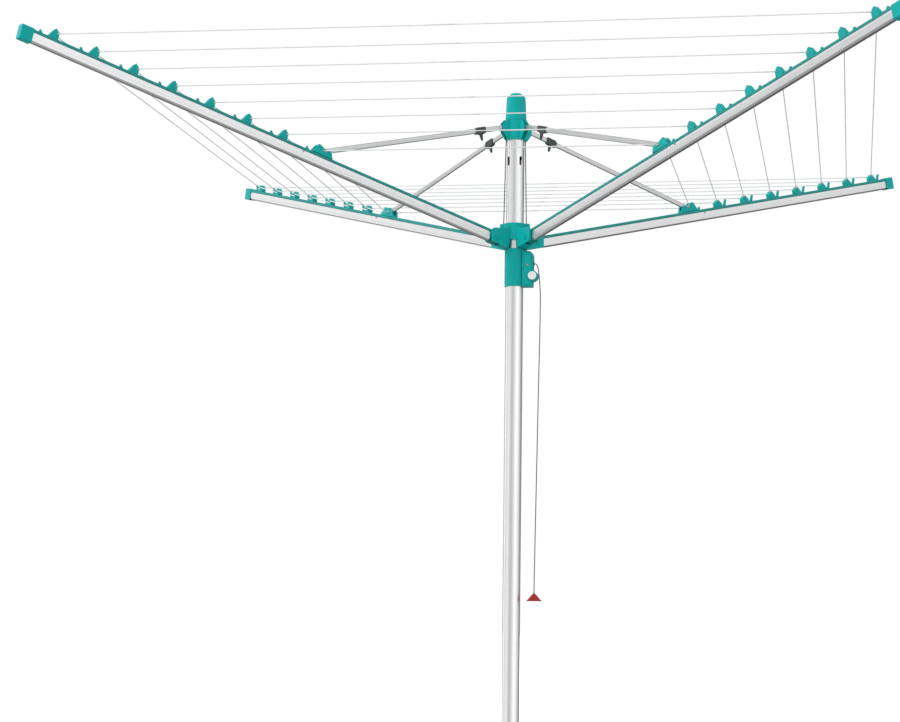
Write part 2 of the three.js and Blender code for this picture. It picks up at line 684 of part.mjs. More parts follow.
// ---------- assembly ----------
place(clothesline, 'ground_sleeve', groundSleeve(), CHARCOAL);
place(clothesline, 'mast_tube', mastTube(), ALUMINIUM);
place(clothesline, 'mast_foot_plug', mastFootPlug(), CHARCOAL);
place(clothesline, 'top_cap', topCap(), TEAL);
place(clothesline, 'crown', crown(), TEAL);
place(clothesline, 'hoist_cord_left', hoistCord(-1), GREY_CORD);
place(clothesline, 'hoist_cord_right', hoistCord(1), GREY_CORD);
place(clothesline, 'hub', hub(), TEAL);
place(clothesline, 'hub_bush', hubBush(), CHARCOAL);
place(clothesline, 'lock_housing', lockHousing(), TEAL);
place(clothesline, 'lock_box_cover', lockBoxCover(), TEAL);
place(clothesline, 'cover_screw', coverScrew(), STEEL);
place(clothesline, 'cord_gland', cordGland(), DARK_TEAL);
place(clothesline, 'cleat_pin', cleatPin(), STEEL);
place(clothesline, 'cord_cleat', cordCleat(), CHARCOAL);
place(clothesline, 'release_button', releaseButton(), WHITE);
place(clothesline, 'button_spring', buttonSpring(), STEEL);
place(clothesline, 'pull_cord', pullCord(), GREY_CORD);
place(clothesline, 'pull_handle', pullHandle(), RED);
place(clothesline, 'washing_line', wholeLine(), LINE_PLASTIC);

for (let number = 1; number <= ARMS; number += 1) {
  const azimuth = azimuthGroup(number);

  const hinge = new THREE.Group();
  hinge.position.set(HINGE_R, 0, HINGE_Z);
  azimuth.add(hinge);
  place(hinge, `hinge_pin_${number}`, headedPin(HINGE_PIN_R, CLEVIS_HALF + GAP, 5.4, 1.2), STEEL);

  const arm = new THREE.Group();
  arm.rotation.y = -ARM_SLOPE;
  hinge.add(arm);
  place(arm, `arm_knuckle_${number}`, armKnuckle(), DARK_TEAL);
  place(arm, `arm_tube_${number}`, armTube(), ALUMINIUM);
  place(arm, `line_rail_${number}`, lineRail(number), TEAL);
  place(arm, `arm_tip_cap_${number}`, tipCap(), TEAL);
  place(arm, `strut_bracket_${number}`, strutBracket(number), TEAL);

  const bracketPivot = new THREE.Group();
  bracketPivot.position.set(BRACKET_PIVOT_U, 0, BRACKET_PIVOT_V);
  arm.add(bracketPivot);
  place(bracketPivot, `strut_pin_${number}`, headedPin(STRUT_PIN_R, 10.4 + GAP, 4.6, 1.6), STEEL);

  const strutGroup = new THREE.Group();
  strutGroup.position.set(CROWN_PIVOT_R, 0, CROWN_PIVOT_Z);
  strutGroup.rotation.y = STRUT_SLOPE;
  azimuth.add(strutGroup);
  place(strutGroup, `strut_bar_${number}`, strut(), ALUMINIUM);
  place(strutGroup, `strut_head_${number}`, strutHead(), ALUMINIUM);
  place(strutGroup, `hanger_clip_${number}`, hangerClip(number === 1 || number === 4 ? 1 : -1), CHARCOAL);
}

export default clothesline;
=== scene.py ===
import json
import math

import bmesh
import bpy
from mathutils import Matrix, Vector


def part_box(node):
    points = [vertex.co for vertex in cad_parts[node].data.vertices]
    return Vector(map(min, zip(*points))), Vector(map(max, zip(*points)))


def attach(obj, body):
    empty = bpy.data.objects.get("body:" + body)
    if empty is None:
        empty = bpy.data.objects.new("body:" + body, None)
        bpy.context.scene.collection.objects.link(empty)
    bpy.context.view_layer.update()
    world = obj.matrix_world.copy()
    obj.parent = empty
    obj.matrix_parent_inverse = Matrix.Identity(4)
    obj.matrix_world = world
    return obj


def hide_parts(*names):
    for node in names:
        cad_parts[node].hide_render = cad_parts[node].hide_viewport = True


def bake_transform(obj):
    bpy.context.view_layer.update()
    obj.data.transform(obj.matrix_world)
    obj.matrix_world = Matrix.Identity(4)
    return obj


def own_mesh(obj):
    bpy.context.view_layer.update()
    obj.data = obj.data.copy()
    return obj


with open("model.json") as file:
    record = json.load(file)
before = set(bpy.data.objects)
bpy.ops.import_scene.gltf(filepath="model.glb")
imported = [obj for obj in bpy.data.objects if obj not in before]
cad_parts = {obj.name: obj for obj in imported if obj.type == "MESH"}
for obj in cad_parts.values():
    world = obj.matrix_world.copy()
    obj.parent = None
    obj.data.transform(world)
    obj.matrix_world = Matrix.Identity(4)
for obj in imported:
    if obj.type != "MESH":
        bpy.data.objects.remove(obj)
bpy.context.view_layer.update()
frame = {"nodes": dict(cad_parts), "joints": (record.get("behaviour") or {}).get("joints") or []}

joints = {joint["name"]: joint for joint in frame["joints"]}

# ---------- sizes ----------
# Shapes are drawn in millimetres, as on a workshop drawing, and MM turns them into the scene's metres.
MM = 0.001
ARMS = 4
AZIMUTHS = [math.radians(45) + i * math.pi / 2 for i in range(ARMS)]


def heights(node):
    low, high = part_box(node)
    return low.z / MM, high.z / MM


def axis_place(joint):
    """How far from the mast's axis and how high a joint sits."""
    x, y, z = joints[joint]["pos_m"]
    return Vector((x, y)).length / MM, z / MM


MAST_R = 25
MAST_BOTTOM, MAST_TOP = heights("mast_tube")
MAST_SLOT_Z = 1680

CROWN_LOW, CROWN_TOP = heights("crown")
CROWN_PIVOT = (45, 1773)
CROWN_NOTCH = 4.3
CROWN_NOTCH_REACH = 7.2
CROWN_CHEEKS = (5.2, 8.4)
CAP_TOP = heights("top_cap")[1]

HUB_LOW, HUB_TOP = heights("hub")
HINGE_R, HINGE_Z = axis_place("arm_1_fold")
HUB_CHEEKS = (10.7, 17)
HOIST_TOP_R = 27.6
HOIST_FOOT_R = 32.5

BRACKET_PIVOT = (592, 31)
BRACKET_R, BRACKET_Z = axis_place("strut_1_fold")
ARM_SLOPE = (math.atan2(BRACKET_Z - HINGE_Z, BRACKET_R - HINGE_R)
             - math.atan2(BRACKET_PIVOT[1], BRACKET_PIVOT[0]))
STRUT_SLOPE = math.atan2(CROWN_PIVOT[1] - BRACKET_Z, BRACKET_R - CROWN_PIVOT[0])
STRUT_LENGTH = math.hypot(BRACKET_R - CROWN_PIVOT[0], CROWN_PIVOT[1] - BRACKET_Z)

ARM_START = 24
ARM_END = 1480
ARM_LOW = -17
ARM_HIGH = 9
RAIL_TOP = 17
LOW_GUIDE = 38
HIGH_GUIDE = 43.5

RINGS = 8
OUTER_RING_HALF_SIDE = 1007
RING_PITCH = 77.6
LINE_R = 1.5
LINE_ROOM_R = LINE_R + 0.75
LINE_LIFT = 29
INNER_LINE_LIFT = 26.5
STEP_SIDE = 7
STEP_DROP = 4.5
LACED_ARM = 2

LOCK_LOW = heights("lock_housing")[0]
LOCK_R = 28.5
BOX_RIGHT = 54
BOX_HALF_DEPTH = 19
BUTTON = (54, 1351)
BUTTON_R = 12.1
BOSS_R = 15.3
SCREW = (39, 1382)
CORD_Y = 8
CORD_EXIT_Z = 1389
CORD_R = 1.5
HANDLE_X = 63
HANDLE_LOW, HANDLE_TOP = heights("pull_handle")


def linked(name, data):
    """A new object in the scene."""
    piece = bpy.data.objects.new(name, data)
    bpy.context.scene.collection.objects.link(piece)
    return piece


# ---------- the camera ----------
def make_camera():
    data = bpy.data.cameras.new("camera")
    data.sensor_width = 36
    data.lens = 91.43
    data.shift_x = -0.10
    data.shift_y = 0.15
    data.clip_end = 200
    camera = linked("camera", data)
    yaw, pitch, roll = math.radians(-7.827), math.radians(3.1435), math.radians(0.518)
    forward = Vector((math.sin(yaw) * math.cos(pitch), math.cos(yaw) * math.cos(pitch), math.sin(pitch)))
    level = Vector((math.cos(yaw), -math.sin(yaw), 0))
    upright = level.cross(forward)
    right = level * math.cos(roll) + upright * math.sin(roll)
    up = upright * math.cos(roll) - level * math.sin(roll)
    camera.matrix_world = Matrix.Translation((0.9542, -6.369, 0.3759)) @ Matrix(
        (right, up, -forward)).transposed().to_4x4()
    bpy.context.scene.camera = camera


make_camera()


# ---------- drawing solids ----------
def rounded(points, steps=4, closed=True):
    """An outline whose corners (x, y, radius) are arcs; a corner with no radius stays sharp."""
    drawn = []
    count = len(points)
    for i, point in enumerate(points):
        corner = Vector(point[:2])
        radius = point[2] if len(point) > 2 else 0
        if radius == 0 or (not closed and i in (0, count - 1)):
            drawn.append(tuple(corner))
            continue
        back = Vector(points[i - 1][:2]) - corner
        ahead = Vector(points[(i + 1) % count][:2]) - corner
        half = back.angle(ahead) / 2
        if half > math.radians(89):
            drawn.append(tuple(corner))
            continue
        reach = min(radius / math.tan(half), 0.48 * back.length, 0.48 * ahead.length)
        radius = reach * math.tan(half)
        centre = corner + (back.normalized() + ahead.normalized()).normalized() * (radius / math.sin(half))
        start = corner + back.normalized() * reach - centre
        end = corner + ahead.normalized() * reach - centre
        turn = start.angle_signed(end)
        for step in range(steps + 1):
            angle = turn * step / steps
            arm = Matrix.Rotation(-angle, 2) @ start
            drawn.append(tuple(centre + arm))
    return drawn


def oblong(x0, x1, y0, y1, radius, steps=4):
    return rounded([(x0, y0, radius), (x1, y0, radius), (x1, y1, radius), (x0, y1, radius)], steps)


def circle(radius, x=0, y=0, sides=48):
    return [(x + radius * math.cos(2 * math.pi * i / sides), y + radius * math.sin(2 * math.pi * i / sides))
            for i in range(sides)]


def sided(side, near, far):
    """The lower and upper end of a stretch that starts and stops at two distances to one side, -1 or 1."""
    return sorted((side * near, side * far))


def solid(vertices, faces, name="solid"):
    """A closed mesh object, drawn in millimetres."""
    mesh = bpy.data.meshes.new(name)
    mesh.from_pydata([Vector(v) * MM for v in vertices], [], faces)
    form = bmesh.new()
    form.from_mesh(mesh)
    bmesh.ops.recalc_face_normals(form, faces=form.faces)
    form.to_mesh(mesh)
    form.free()
    return linked(name, mesh)


def prism(outline, low, high, axis="y"):
    """An outline run from low to high along an axis. It is drawn in the other two axes, in X, Y, Z order."""
    def at(a, b, h):
        return {"x": (h, a, b), "y": (a, h, b), "z": (a, b, h)}[axis]

    count = len(outline)
    vertices = [at(a, b, low) for a, b in outline] + [at(a, b, high) for a, b in outline]
    faces = [tuple(range(count)), tuple(range(2 * count - 1, count - 1, -1))]
    for i in range(count):
        j = (i + 1) % count
        faces.append((i, j, count + j, count + i))
    return solid(vertices, faces)


def plate(points, half, steps=4):
    """A flat piece centred on Y, from an outline in X and Z."""
    return prism(rounded(points, steps), -half, half)


def block(x0, x1, y0, y1, z0, z1):
    return prism([(x0, z0), (x1, z0), (x1, z1), (x0, z1)], y0, y1)


def lathe(profile, sides=96, closed=False):
    """A profile of radius and height, turned about Z. It starts and ends on the axis, or closes on itself."""
    vertices = []
    rows = []
    for radius, height in profile:
        if radius < 1e-6:
            rows.append([len(vertices)] * sides)
            vertices.append((0, 0, height))
            continue
        rows.append(list(range(len(vertices), len(vertices) + sides)))
        for x, y in circle(radius, sides=sides):
            vertices.append((x, y, height))
    faces = []
    pairs = list(zip(rows, rows[1:] + rows[:1])) if closed else list(zip(rows, rows[1:]))
    for lower, upper in pairs:
        for i in range(sides):
            j = (i + 1) % sides
            face = []
            for index in (lower[i], lower[j], upper[j], upper[i]):
                if index not in face:
                    face.append(index)
            if len(face) > 2:
                faces.append(face)
    return solid(vertices, faces)


def turned(points, sides, steps=4):
    """A solid of revolution from corners that start and end on the axis."""
    return lathe(rounded(points, steps, closed=False), sides)


def along_y(piece, x=0, z=0):
    """Lays a piece turned about Z along Y instead."""
    piece.data.transform(Matrix.Translation((x * MM, 0, z * MM)) @ Matrix.Rotation(math.radians(-90), 4, "X"))
    return piece


def rod(radius, low, high, axis="y", a=0, b=0, sides=48):
    """A round bar along an axis, whose centre is at a, b in the other two axes."""
    return prism(circle(radius, a, b, sides), low, high, axis)


def spun(piece, angle):
    piece.data.transform(Matrix.Rotation(angle, 4, "Z"))
    return piece


def moved(piece, x=0, y=0, z=0):
    piece.data.transform(Matrix.Translation((x * MM, y * MM, z * MM)))
    return piece


def tube(points, radius, sides=10, name="tube"):
    """A round tube along points in millimetres, with a UV map: U round it, V along it in metres."""
    points = [Vector(p) for p in points]
    last = len(points) - 1
    tangents = [(points[min(i + 1, last)] - points[max(i - 1, 0)]).normalized() for i in range(last + 1)]
    side = tangents[0].orthogonal().normalized()
    vertices, along = [], []
    travelled = 0
    for i, point in enumerate(points):
        if i:
            travelled += (point - points[i - 1]).length
            side = (side - tangents[i] * side.dot(tangents[i])).normalized()
        other = tangents[i].cross(side)
        along.append(travelled * MM)
        for a, b in circle(radius, sides=sides):
            vertices.append(point + side * a + other * b)
    faces, corners = [], []
    for i in range(last):
        for j in range(sides):
            k = (j + 1) % sides
            faces.append((i * sides + j, i * sides + k, (i + 1) * sides + k, (i + 1) * sides + j))
            corners += [(j / sides, along[i]), ((j + 1) / sides, along[i]),
                        ((j + 1) / sides, along[i + 1]), (j / sides, along[i + 1])]
    faces.append(tuple(range(sides - 1, -1, -1)))
    faces.append(tuple(range(last * sides, (last + 1) * sides)))
    corners += [(0, 0)] * sides + [(0, along[-1])] * sides
    mesh = bpy.data.meshes.new(name)
    mesh.from_pydata([v * MM for v in vertices], [], faces)
    uv = mesh.uv_layers.new(name="round_and_along")
    for loop, corner in zip(uv.data, corners):
        loop.uv = corner
    mesh.shade_smooth()
    return linked(name, mesh)


def curve_through(points, steps):
    """Points on a smooth Catmull-Rom curve through the given ones, evenly spaced in each stretch."""
    points = [Vector(p) for p in points]
    ends = [points[0] * 2 - points[1], *points, points[-1] * 2 - points[-2]]
    drawn = []
    for i in range(len(points) - 1):
        a, b, c, d = ends[i:i + 4]
        for step in range(steps):
            t = step / steps
            drawn.append(0.5 * (2 * b + (c - a) * t + (2 * a - 5 * b + 4 * c - d) * t ** 2
                                + (3 * b - a - 3 * c + d) * t ** 3))
    return [*drawn, points[-1]]


def bake(piece):
    """Makes a piece's modifiers part of its mesh."""
    graph = bpy.context.evaluated_depsgraph_get()
    mesh = bpy.data.meshes.new_from_object(piece.evaluated_get(graph))
    piece.modifiers.clear()
    piece.data = mesh
    return piece


def combine(operation, base, tools):
    for tool in tools:
        step = base.modifiers.new("combine", "BOOLEAN")
        step.operation = operation
        step.solver = "EXACT"
        step.object = tool
        bake(base)
        bpy.data.objects.remove(tool)
    return base


def join(base, *tools):
    return combine("UNION", base, tools)


def cut(base, *tools):
    return combine("DIFFERENCE", base, tools)


def soften(piece, width=0.6, segments=2, angle=32):
    """Rounds the edges of a moulded or machined piece, and smooths its shading."""
    form = bmesh.new()
    form.from_mesh(piece.data)
    bmesh.ops.remove_doubles(form, verts=form.verts, dist=0.01 * MM)
    bmesh.ops.dissolve_limit(form, angle_limit=math.radians(0.4), verts=form.verts, edges=form.edges)
    form.to_mesh(piece.data)
    form.free()
    bevel = piece.modifiers.new("bevel", "BEVEL")
    bevel.width = width * MM
    bevel.segments = segments
    bevel.limit_method = "ANGLE"
    bevel.angle_limit = math.radians(angle)
    bevel.use_clamp_overlap = True
    bake(piece)
    return smooth(piece)


def smooth(piece, angle=40):
    piece.data.shade_smooth()
    piece.data.set_sharp_from_angle(angle=math.radians(angle))
    normals = piece.modifiers.new("normals", "WEIGHTED_NORMAL")
    normals.keep_sharp = True
    return bake(piece)


def copies_in_one(name, parts):
    """Several separate solids as one object."""
    form = bmesh.new()
    for part in parts:
        form.from_mesh(part.data)
    mesh = bpy.data.meshes.new(name)
    form.to_mesh(mesh)
    form.free()
    for part in parts:
        bpy.data.objects.remove(part)
    return linked(name, mesh)


# ---------- materials ----------
class Graph:
    """Shader nodes being wired together."""

    def __init__(self, tree):
        self.tree = tree

    def node(self, kind, settings=None, **inputs):
        made = self.tree.nodes.new(kind)
        for key, value in (settings or {}).items():
            setattr(made, key, value)
        for key, value in inputs.items():
            self.feed(made.inputs[key.replace("_", " ")], value)
        return made

    def feed(self, socket, value):
        if isinstance(value, bpy.types.NodeSocket):
            self.tree.links.new(value, socket)
        else:
            socket.default_value = value

    def maths(self, operation, first, second=0.0):
        made = self.node("ShaderNodeMath", {"operation": operation})
        self.feed(made.inputs[0], first)
        self.feed(made.inputs[1], second)
        return made.outputs[0]

    def ramp(self, value, low, high, start, end, kind="LINEAR"):
        """Turns the stretch from low to high into the stretch from start to end."""
        made = self.node("ShaderNodeMapRange", {"interpolation_type": kind}, Value=value, From_Min=low,
                         From_Max=high, To_Min=start, To_Max=end)
        return made.outputs["Result"]


class Recipe(Graph):
    """A material being built from nodes."""

    def __init__(self, name):
        self.material = bpy.data.materials.new(name)
        self.material.use_nodes = True
        super().__init__(self.material.node_tree)
        self.shader = self.tree.nodes["Principled BSDF"]
        self.place = self.tree.nodes.new("ShaderNodeTexCoord")

    def stretched(self, scale, source="Object"):
        mapping = self.node("ShaderNodeMapping", Scale=scale)
        self.feed(mapping.inputs["Vector"], self.place.outputs[source])
        return mapping.outputs["Vector"]

    def noise(self, scale, detail=3, stretch=(1, 1, 1), source="Object", rough=0.5):
        made = self.node("ShaderNodeTexNoise", Vector=self.stretched(stretch, source), Scale=scale,
                         Detail=detail, Roughness=rough)
        return made.outputs["Fac"]

    def spread(self, value, low, high, from_low=0.3, from_high=0.7):
        return self.ramp(value, from_low, from_high, low, high)

    def mix(self, share, first, second):
        made = self.node("ShaderNodeMix", {"data_type": "RGBA"})
        self.feed(made.inputs[0], share)
        self.feed(made.inputs[6], first)
        self.feed(made.inputs[7], second)
        return made.outputs[2]

    def bump(self, height, distance, strength=1.0, under=None):
        made = self.node("ShaderNodeBump", Height=height, Distance=distance, Strength=strength)
        if under is not None:
            self.feed(made.inputs["Normal"], under)
        return made.outputs["Normal"]

    def edges(self, low=0.51, high=0.56):
        """How far a point is out on a rounded edge, from 0 on a flat to 1."""
        geometry = self.node("ShaderNodeNewGeometry")
        return self.spread(geometry.outputs["Pointiness"], 0, 1, low, high)

    def set(self, **inputs):
        for key, value in inputs.items():
            self.feed(self.shader.inputs[key.replace("_", " ")], value)
        return self.material


def colour(red, green, blue, scale=1.0):
    """A colour given as 0 to 255 display values."""
    def linear(value):
        value = value / 255
        return value / 12.92 if value <= 0.04045 else ((value + 0.055) / 1.055) ** 2.4

    return (linear(red) * scale, linear(green) * scale, linear(blue) * scale, 1)


def moulded_plastic(name, tint, edge, roughness, grain=0.02, below=None, dull=None):
    """Injection-moulded plastic: faint flow marks, a fine grain, and paler rubbed edges.

    With below, what lies lower than that height in the piece's own frame takes the darker dull colour, as
    painted shade.
    """
    recipe = Recipe(name)
    flow = recipe.noise(28, 3, (1, 1, 0.35))
    darker = tuple(c * 0.88 for c in tint[:3]) + (1,)
    body = recipe.mix(recipe.spread(flow, 0, 1), darker, tint)
    if below is not None:
        parts = recipe.node("ShaderNodeSeparateXYZ", Vector=recipe.place.outputs["Object"])
        # Painted shade: below that height the colour is mixed towards the darker dull colour.
        low = recipe.spread(parts.outputs["Z"], 1, 0, below * MM, (below + 1) * MM)
        body = recipe.mix(low, body, dull)
    rubbed = recipe.maths("MULTIPLY", recipe.edges(), recipe.spread(recipe.noise(160, 4), 0, 0.5))
    grain_height = recipe.noise(2600, 2)
    marks = recipe.noise(90, 4, rough=0.6)
    return recipe.set(
        Base_Color=recipe.mix(rubbed, body, edge),
        Roughness=recipe.spread(marks, roughness - 0.05, roughness + 0.07),
        Specular_IOR_Level=0.16,
        Normal=recipe.bump(grain_height, grain * MM, 1.0, recipe.bump(flow, 0.12 * MM, 0.6)),
    )


def drawn_aluminium(name, along, tint=0.80, roughness=0.27, bore=None):
    """Extruded aluminium: fine die lines along its length, a soft haze and faint handling marks.

    With bore, the metal nearer to the piece's Z axis than that is painted near-black, as painted shade inside
    the tube.
    """
    recipe = Recipe(name)
    across = 1400
    stretch = {"x": (2.5, across, across), "z": (across, across, 2.5)}[along]
    lines = recipe.noise(1, 2, stretch)
    bands = recipe.noise(1, 2, tuple(s * 0.11 for s in stretch))
    haze = recipe.noise(22, 4)
    pale = (tint, tint * 1.003, tint * 1.01, 1)
    dull = (tint * 0.88, tint * 0.885, tint * 0.895, 1)
    hazed = recipe.spread(haze, roughness - 0.04, roughness + 0.04)
    surface = recipe.mix(recipe.spread(bands, 0, 1), dull, pale)
    if bore is not None:
        place = recipe.node("ShaderNodeSeparateXYZ", Vector=recipe.place.outputs["Object"])
        squares = [recipe.maths("MULTIPLY", place.outputs[axis], place.outputs[axis]) for axis in "XY"]
        reach = recipe.maths("SQRT", recipe.maths("ADD", *squares))
        # Painted shade: inside the bore radius the colour goes near-black.
        bore_shade = recipe.spread(reach, 1, 0, (bore + 0.2) * MM, (bore + 0.8) * MM)
        surface = recipe.mix(bore_shade, surface, (0.03, 0.03, 0.03, 1))
    return recipe.set(
        Base_Color=surface,
        Metallic=1.0,
        Roughness=recipe.maths("ADD", recipe.spread(lines, 0, 0.1), hazed),
        Normal=recipe.bump(lines, 0.006 * MM, 1.0, recipe.bump(bands, 0.02 * MM, 0.7)),
    )


def plated_steel(name):
    """Zinc-plated steel: a mottled crystal bloom over a fine turned grain."""
    recipe = Recipe(name)
    bloom = recipe.noise(420, 4, rough=0.65)
    grain = recipe.noise(1800, 2)
    body = recipe.mix(recipe.spread(bloom, 0, 1), (0.36, 0.37, 0.37, 1), (0.56, 0.57, 0.57, 1))
    return recipe.set(
        Base_Color=body,
        Metallic=1.0,
        Roughness=recipe.spread(bloom, 0.3, 0.48),
        Normal=recipe.bump(grain, 0.01 * MM),
    )


def braided_cord(name, tint, shade, strands=8, pitch=0.0042):
    """A braid: two sets of strands that cross, drawn round and along the cord, with painted shade: the gaps
    between the strands take the darker shade colour.
    """
    recipe = Recipe(name)
    parts = recipe.node("ShaderNodeSeparateXYZ", Vector=recipe.place.outputs["UV"])
    turns = recipe.maths("MULTIPLY", parts.outputs["X"], 2 * math.pi * strands / 2)
    travel = recipe.maths("MULTIPLY", parts.outputs["Y"], 2 * math.pi / pitch * 2)
    left = recipe.maths("SINE", recipe.maths("ADD", turns, travel))
    right = recipe.maths("SINE", recipe.maths("SUBTRACT", turns, travel))
    weave = recipe.maths("MAXIMUM", left, right)
    fibres = recipe.noise(5200, 2)
    # Painted shade: where neither strand rises, in the gaps, the colour goes to shade.
    body = recipe.mix(recipe.spread(weave, 0, 1, -0.4, 0.9), shade, tint)
    height = recipe.maths("ADD", weave, recipe.maths("MULTIPLY", fibres, 0.5))
    return recipe.set(
        Base_Color=body,
        Roughness=recipe.spread(fibres, 0.72, 0.9),
        Sheen_Weight=0.25,
        Sheen_Roughness=0.4,
        Normal=recipe.bump(height, 0.16 * MM),
    )


def coated_line(name):
    """Line with a plastic coat: smooth, with the faint twist of its core showing and a little dust."""
    recipe = Recipe(name)
    parts = recipe.node("ShaderNodeSeparateXYZ", Vector=recipe.place.outputs["UV"])
    turns = recipe.maths("MULTIPLY", parts.outputs["X"], 2 * math.pi * 3)
    travel = recipe.maths("MULTIPLY", parts.outputs["Y"], 2 * math.pi / 0.011)
    twist = recipe.maths("SINE", recipe.maths("ADD", turns, travel))
    dust = recipe.noise(35, 4)
    pale = colour(240, 243, 243)
    worn = colour(226, 230, 230)
    return recipe.set(
        Base_Color=recipe.mix(recipe.spread(dust, 0, 1), pale, worn),
        Roughness=recipe.spread(dust, 0.34, 0.5),
        Normal=recipe.bump(twist, 0.05 * MM),
    )


TEAL = moulded_plastic("teal_moulding", colour(0, 174, 171), colour(30, 184, 180), 0.4)
# A darker copy of the teal moulding, as painted shade, for the arm knuckles and the cord gland.
SHADED_TEAL = moulded_plastic("shaded_teal_moulding", colour(0, 120, 114), colour(44, 152, 145), 0.42)
# The rail's strip, below RAIL_TOP, is painted darker than its guides, as painted shade.
RAIL_TEAL = moulded_plastic("rail_moulding", colour(0, 172, 168), colour(30, 182, 178), 0.4,
                            below=RAIL_TOP, dull=colour(44, 136, 132))
CHARCOAL = moulded_plastic("charcoal_moulding", colour(66, 72, 72), colour(112, 118, 118), 0.5, 0.04)
WHITE = moulded_plastic("white_moulding", colour(246, 248, 247), colour(252, 252, 252), 0.3)
RED = moulded_plastic("red_moulding", colour(166, 44, 40), colour(196, 92, 84), 0.38)
# The mast's inside wall is painted near-black, as painted shade inside the tube.
MAST_METAL = drawn_aluminium("mast_aluminium", "z", 0.84, 0.26, bore=MAST_R - 2)
ARM_METAL = drawn_aluminium("arm_aluminium", "x", 0.8, 0.3)
# The struts' aluminium has a darker tint than the arms', as painted shade.
STRUT_METAL = drawn_aluminium("strut_aluminium", "x", 0.62, 0.32)
STEEL = plated_steel("plated_steel")
GREY_CORD = braided_cord("grey_braid", colour(122, 124, 124), colour(66, 68, 68))
LINE_COAT = coated_line("coated_line")


def finished(piece, name, body, material, *nodes):
    """Names a piece, gives it its material, and makes it ride and stand for its CAD nodes."""
    piece.name = name
    piece.data.name = name
    piece.data.materials.clear()
    piece.data.materials.append(material)
    if body:
        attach(piece, body)
    if nodes:
        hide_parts(*nodes)
    return piece


def remade(piece, node, word, body, material):
    """Finishes a piece that stands for one CAD node, and is named after it."""
    return finished(piece, f"{node}_{word}", body, material, node)


# ---------- the pull cord ----------
CORD_ROUTE = [(x, CORD_Y, z) for x, z in (
    (56.3, CORD_EXIT_Z), (60.5, 1388), (64.6, 1382), (67.2, 1371), (70, 1348), (72.5, 1318), (73.6, 1285),
    (73.4, 1240), (72.4, 1160), (70.6, 1040), (68.6, 900), (66.6, 750), (64.6, 600), (63.3, 500),
    (HANDLE_X, HANDLE_TOP),
)]


def pull_handle():
    middle = (HANDLE_LOW + HANDLE_TOP) / 2
    body = turned([
        (0, HANDLE_LOW), (17, HANDLE_LOW, 0.5), (18, HANDLE_LOW + 0.8, 0.5), (20.4, HANDLE_LOW, 0.5),
        (21.6, HANDLE_LOW + 1.2, 0.7), (20.8, HANDLE_LOW + 2.9, 0.7), (18.2, HANDLE_LOW + 3.6, 1.5),
        (11.5, middle + 1, 8), (5, HANDLE_TOP - 3, 5), (3.4, HANDLE_TOP - 1.4, 0.6), (2.6, HANDLE_TOP, 0.8),
        (0, HANDLE_TOP),
    ], 96, 5)
    return smooth(moved(body, HANDLE_X, CORD_Y), 50)


def make_pull_cord():
    route = curve_through(CORD_ROUTE, 6)
    cord = tube(route, CORD_R, 12)
    handle = remade(pull_handle(), "pull_handle", "moulding", "handle", RED)
    remade(cord, "pull_cord", "braid", "hub", GREY_CORD)
    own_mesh(cord)


make_pull_cord()


# ---------- the ground sleeve and the mast ----------
def ground_sleeve():
    low, high = heights("ground_sleeve")
    body = turned([
        (0, low), (29, low, 1), (30, low + 5, 1), (30, 0), (51, 0, 1), (52, 2, 1.2), (51, 4.6, 1),
        (36.5, 8.5, 4), (33.6, 24, 2), (33.6, 37, 1), (35, 38, 0.8), (35, high - 1.5, 1), (33.8, high, 0.8),
        (26.4, high, 0.8), (25.7, high - 2), (25.6, -330), (0, -330),
    ], 96)
    fins = [spun(block(29, 42, -2, 2, low + 10, -20), i * math.pi / 2) for i in range(4)]
    ribs = []
    for i in range(12):
        outline = [(31, 6), (45, 6), (34, 30), (31, 30)]
        ribs.append(spun(prism(outline, -1.2, 1.2), i * math.pi / 6 + math.pi / 12))
    return soften(join(body, *fins, *ribs), 0.5)


def mast_tube():
    inside = MAST_R - 2
    profile = rounded([
        (inside, MAST_BOTTOM, 0.3), (MAST_R, MAST_BOTTOM, 0.6), (MAST_R, MAST_TOP, 0.6),
        (inside, MAST_TOP, 0.3),
    ])
    body = lathe(profile, 128, closed=True)
    slots = []
    for azimuth in AZIMUTHS:
        slot = prism(oblong(-4.6, 4.6, -13, 13, 4.5, 8), MAST_R - 6, MAST_R + 2, "x")
        slots.append(spun(moved(slot, z=MAST_SLOT_Z), azimuth))
    return smooth(cut(body, *slots), 35)


def top_cap():
    inside = MAST_R + 0.4
    body = turned([
        (0, MAST_TOP + 3), (inside, MAST_TOP + 3, 0.5), (inside, CROWN_TOP + 0.3),
        (29.6, CROWN_TOP + 0.3, 0.4), (30.2, CROWN_TOP + 1.2, 0.4), (29.2, 1815, 12), (26.6, 1862, 1.6),
        (25.2, 1866, 1.4), (14.5, 1875.2, 1.4), (13, CAP_TOP, 1), (7, CAP_TOP, 0.6),
        (6.4, CAP_TOP - 0.8, 0.4), (0, CAP_TOP - 0.8),
    ], 128, 5)
    return smooth(body, 50)


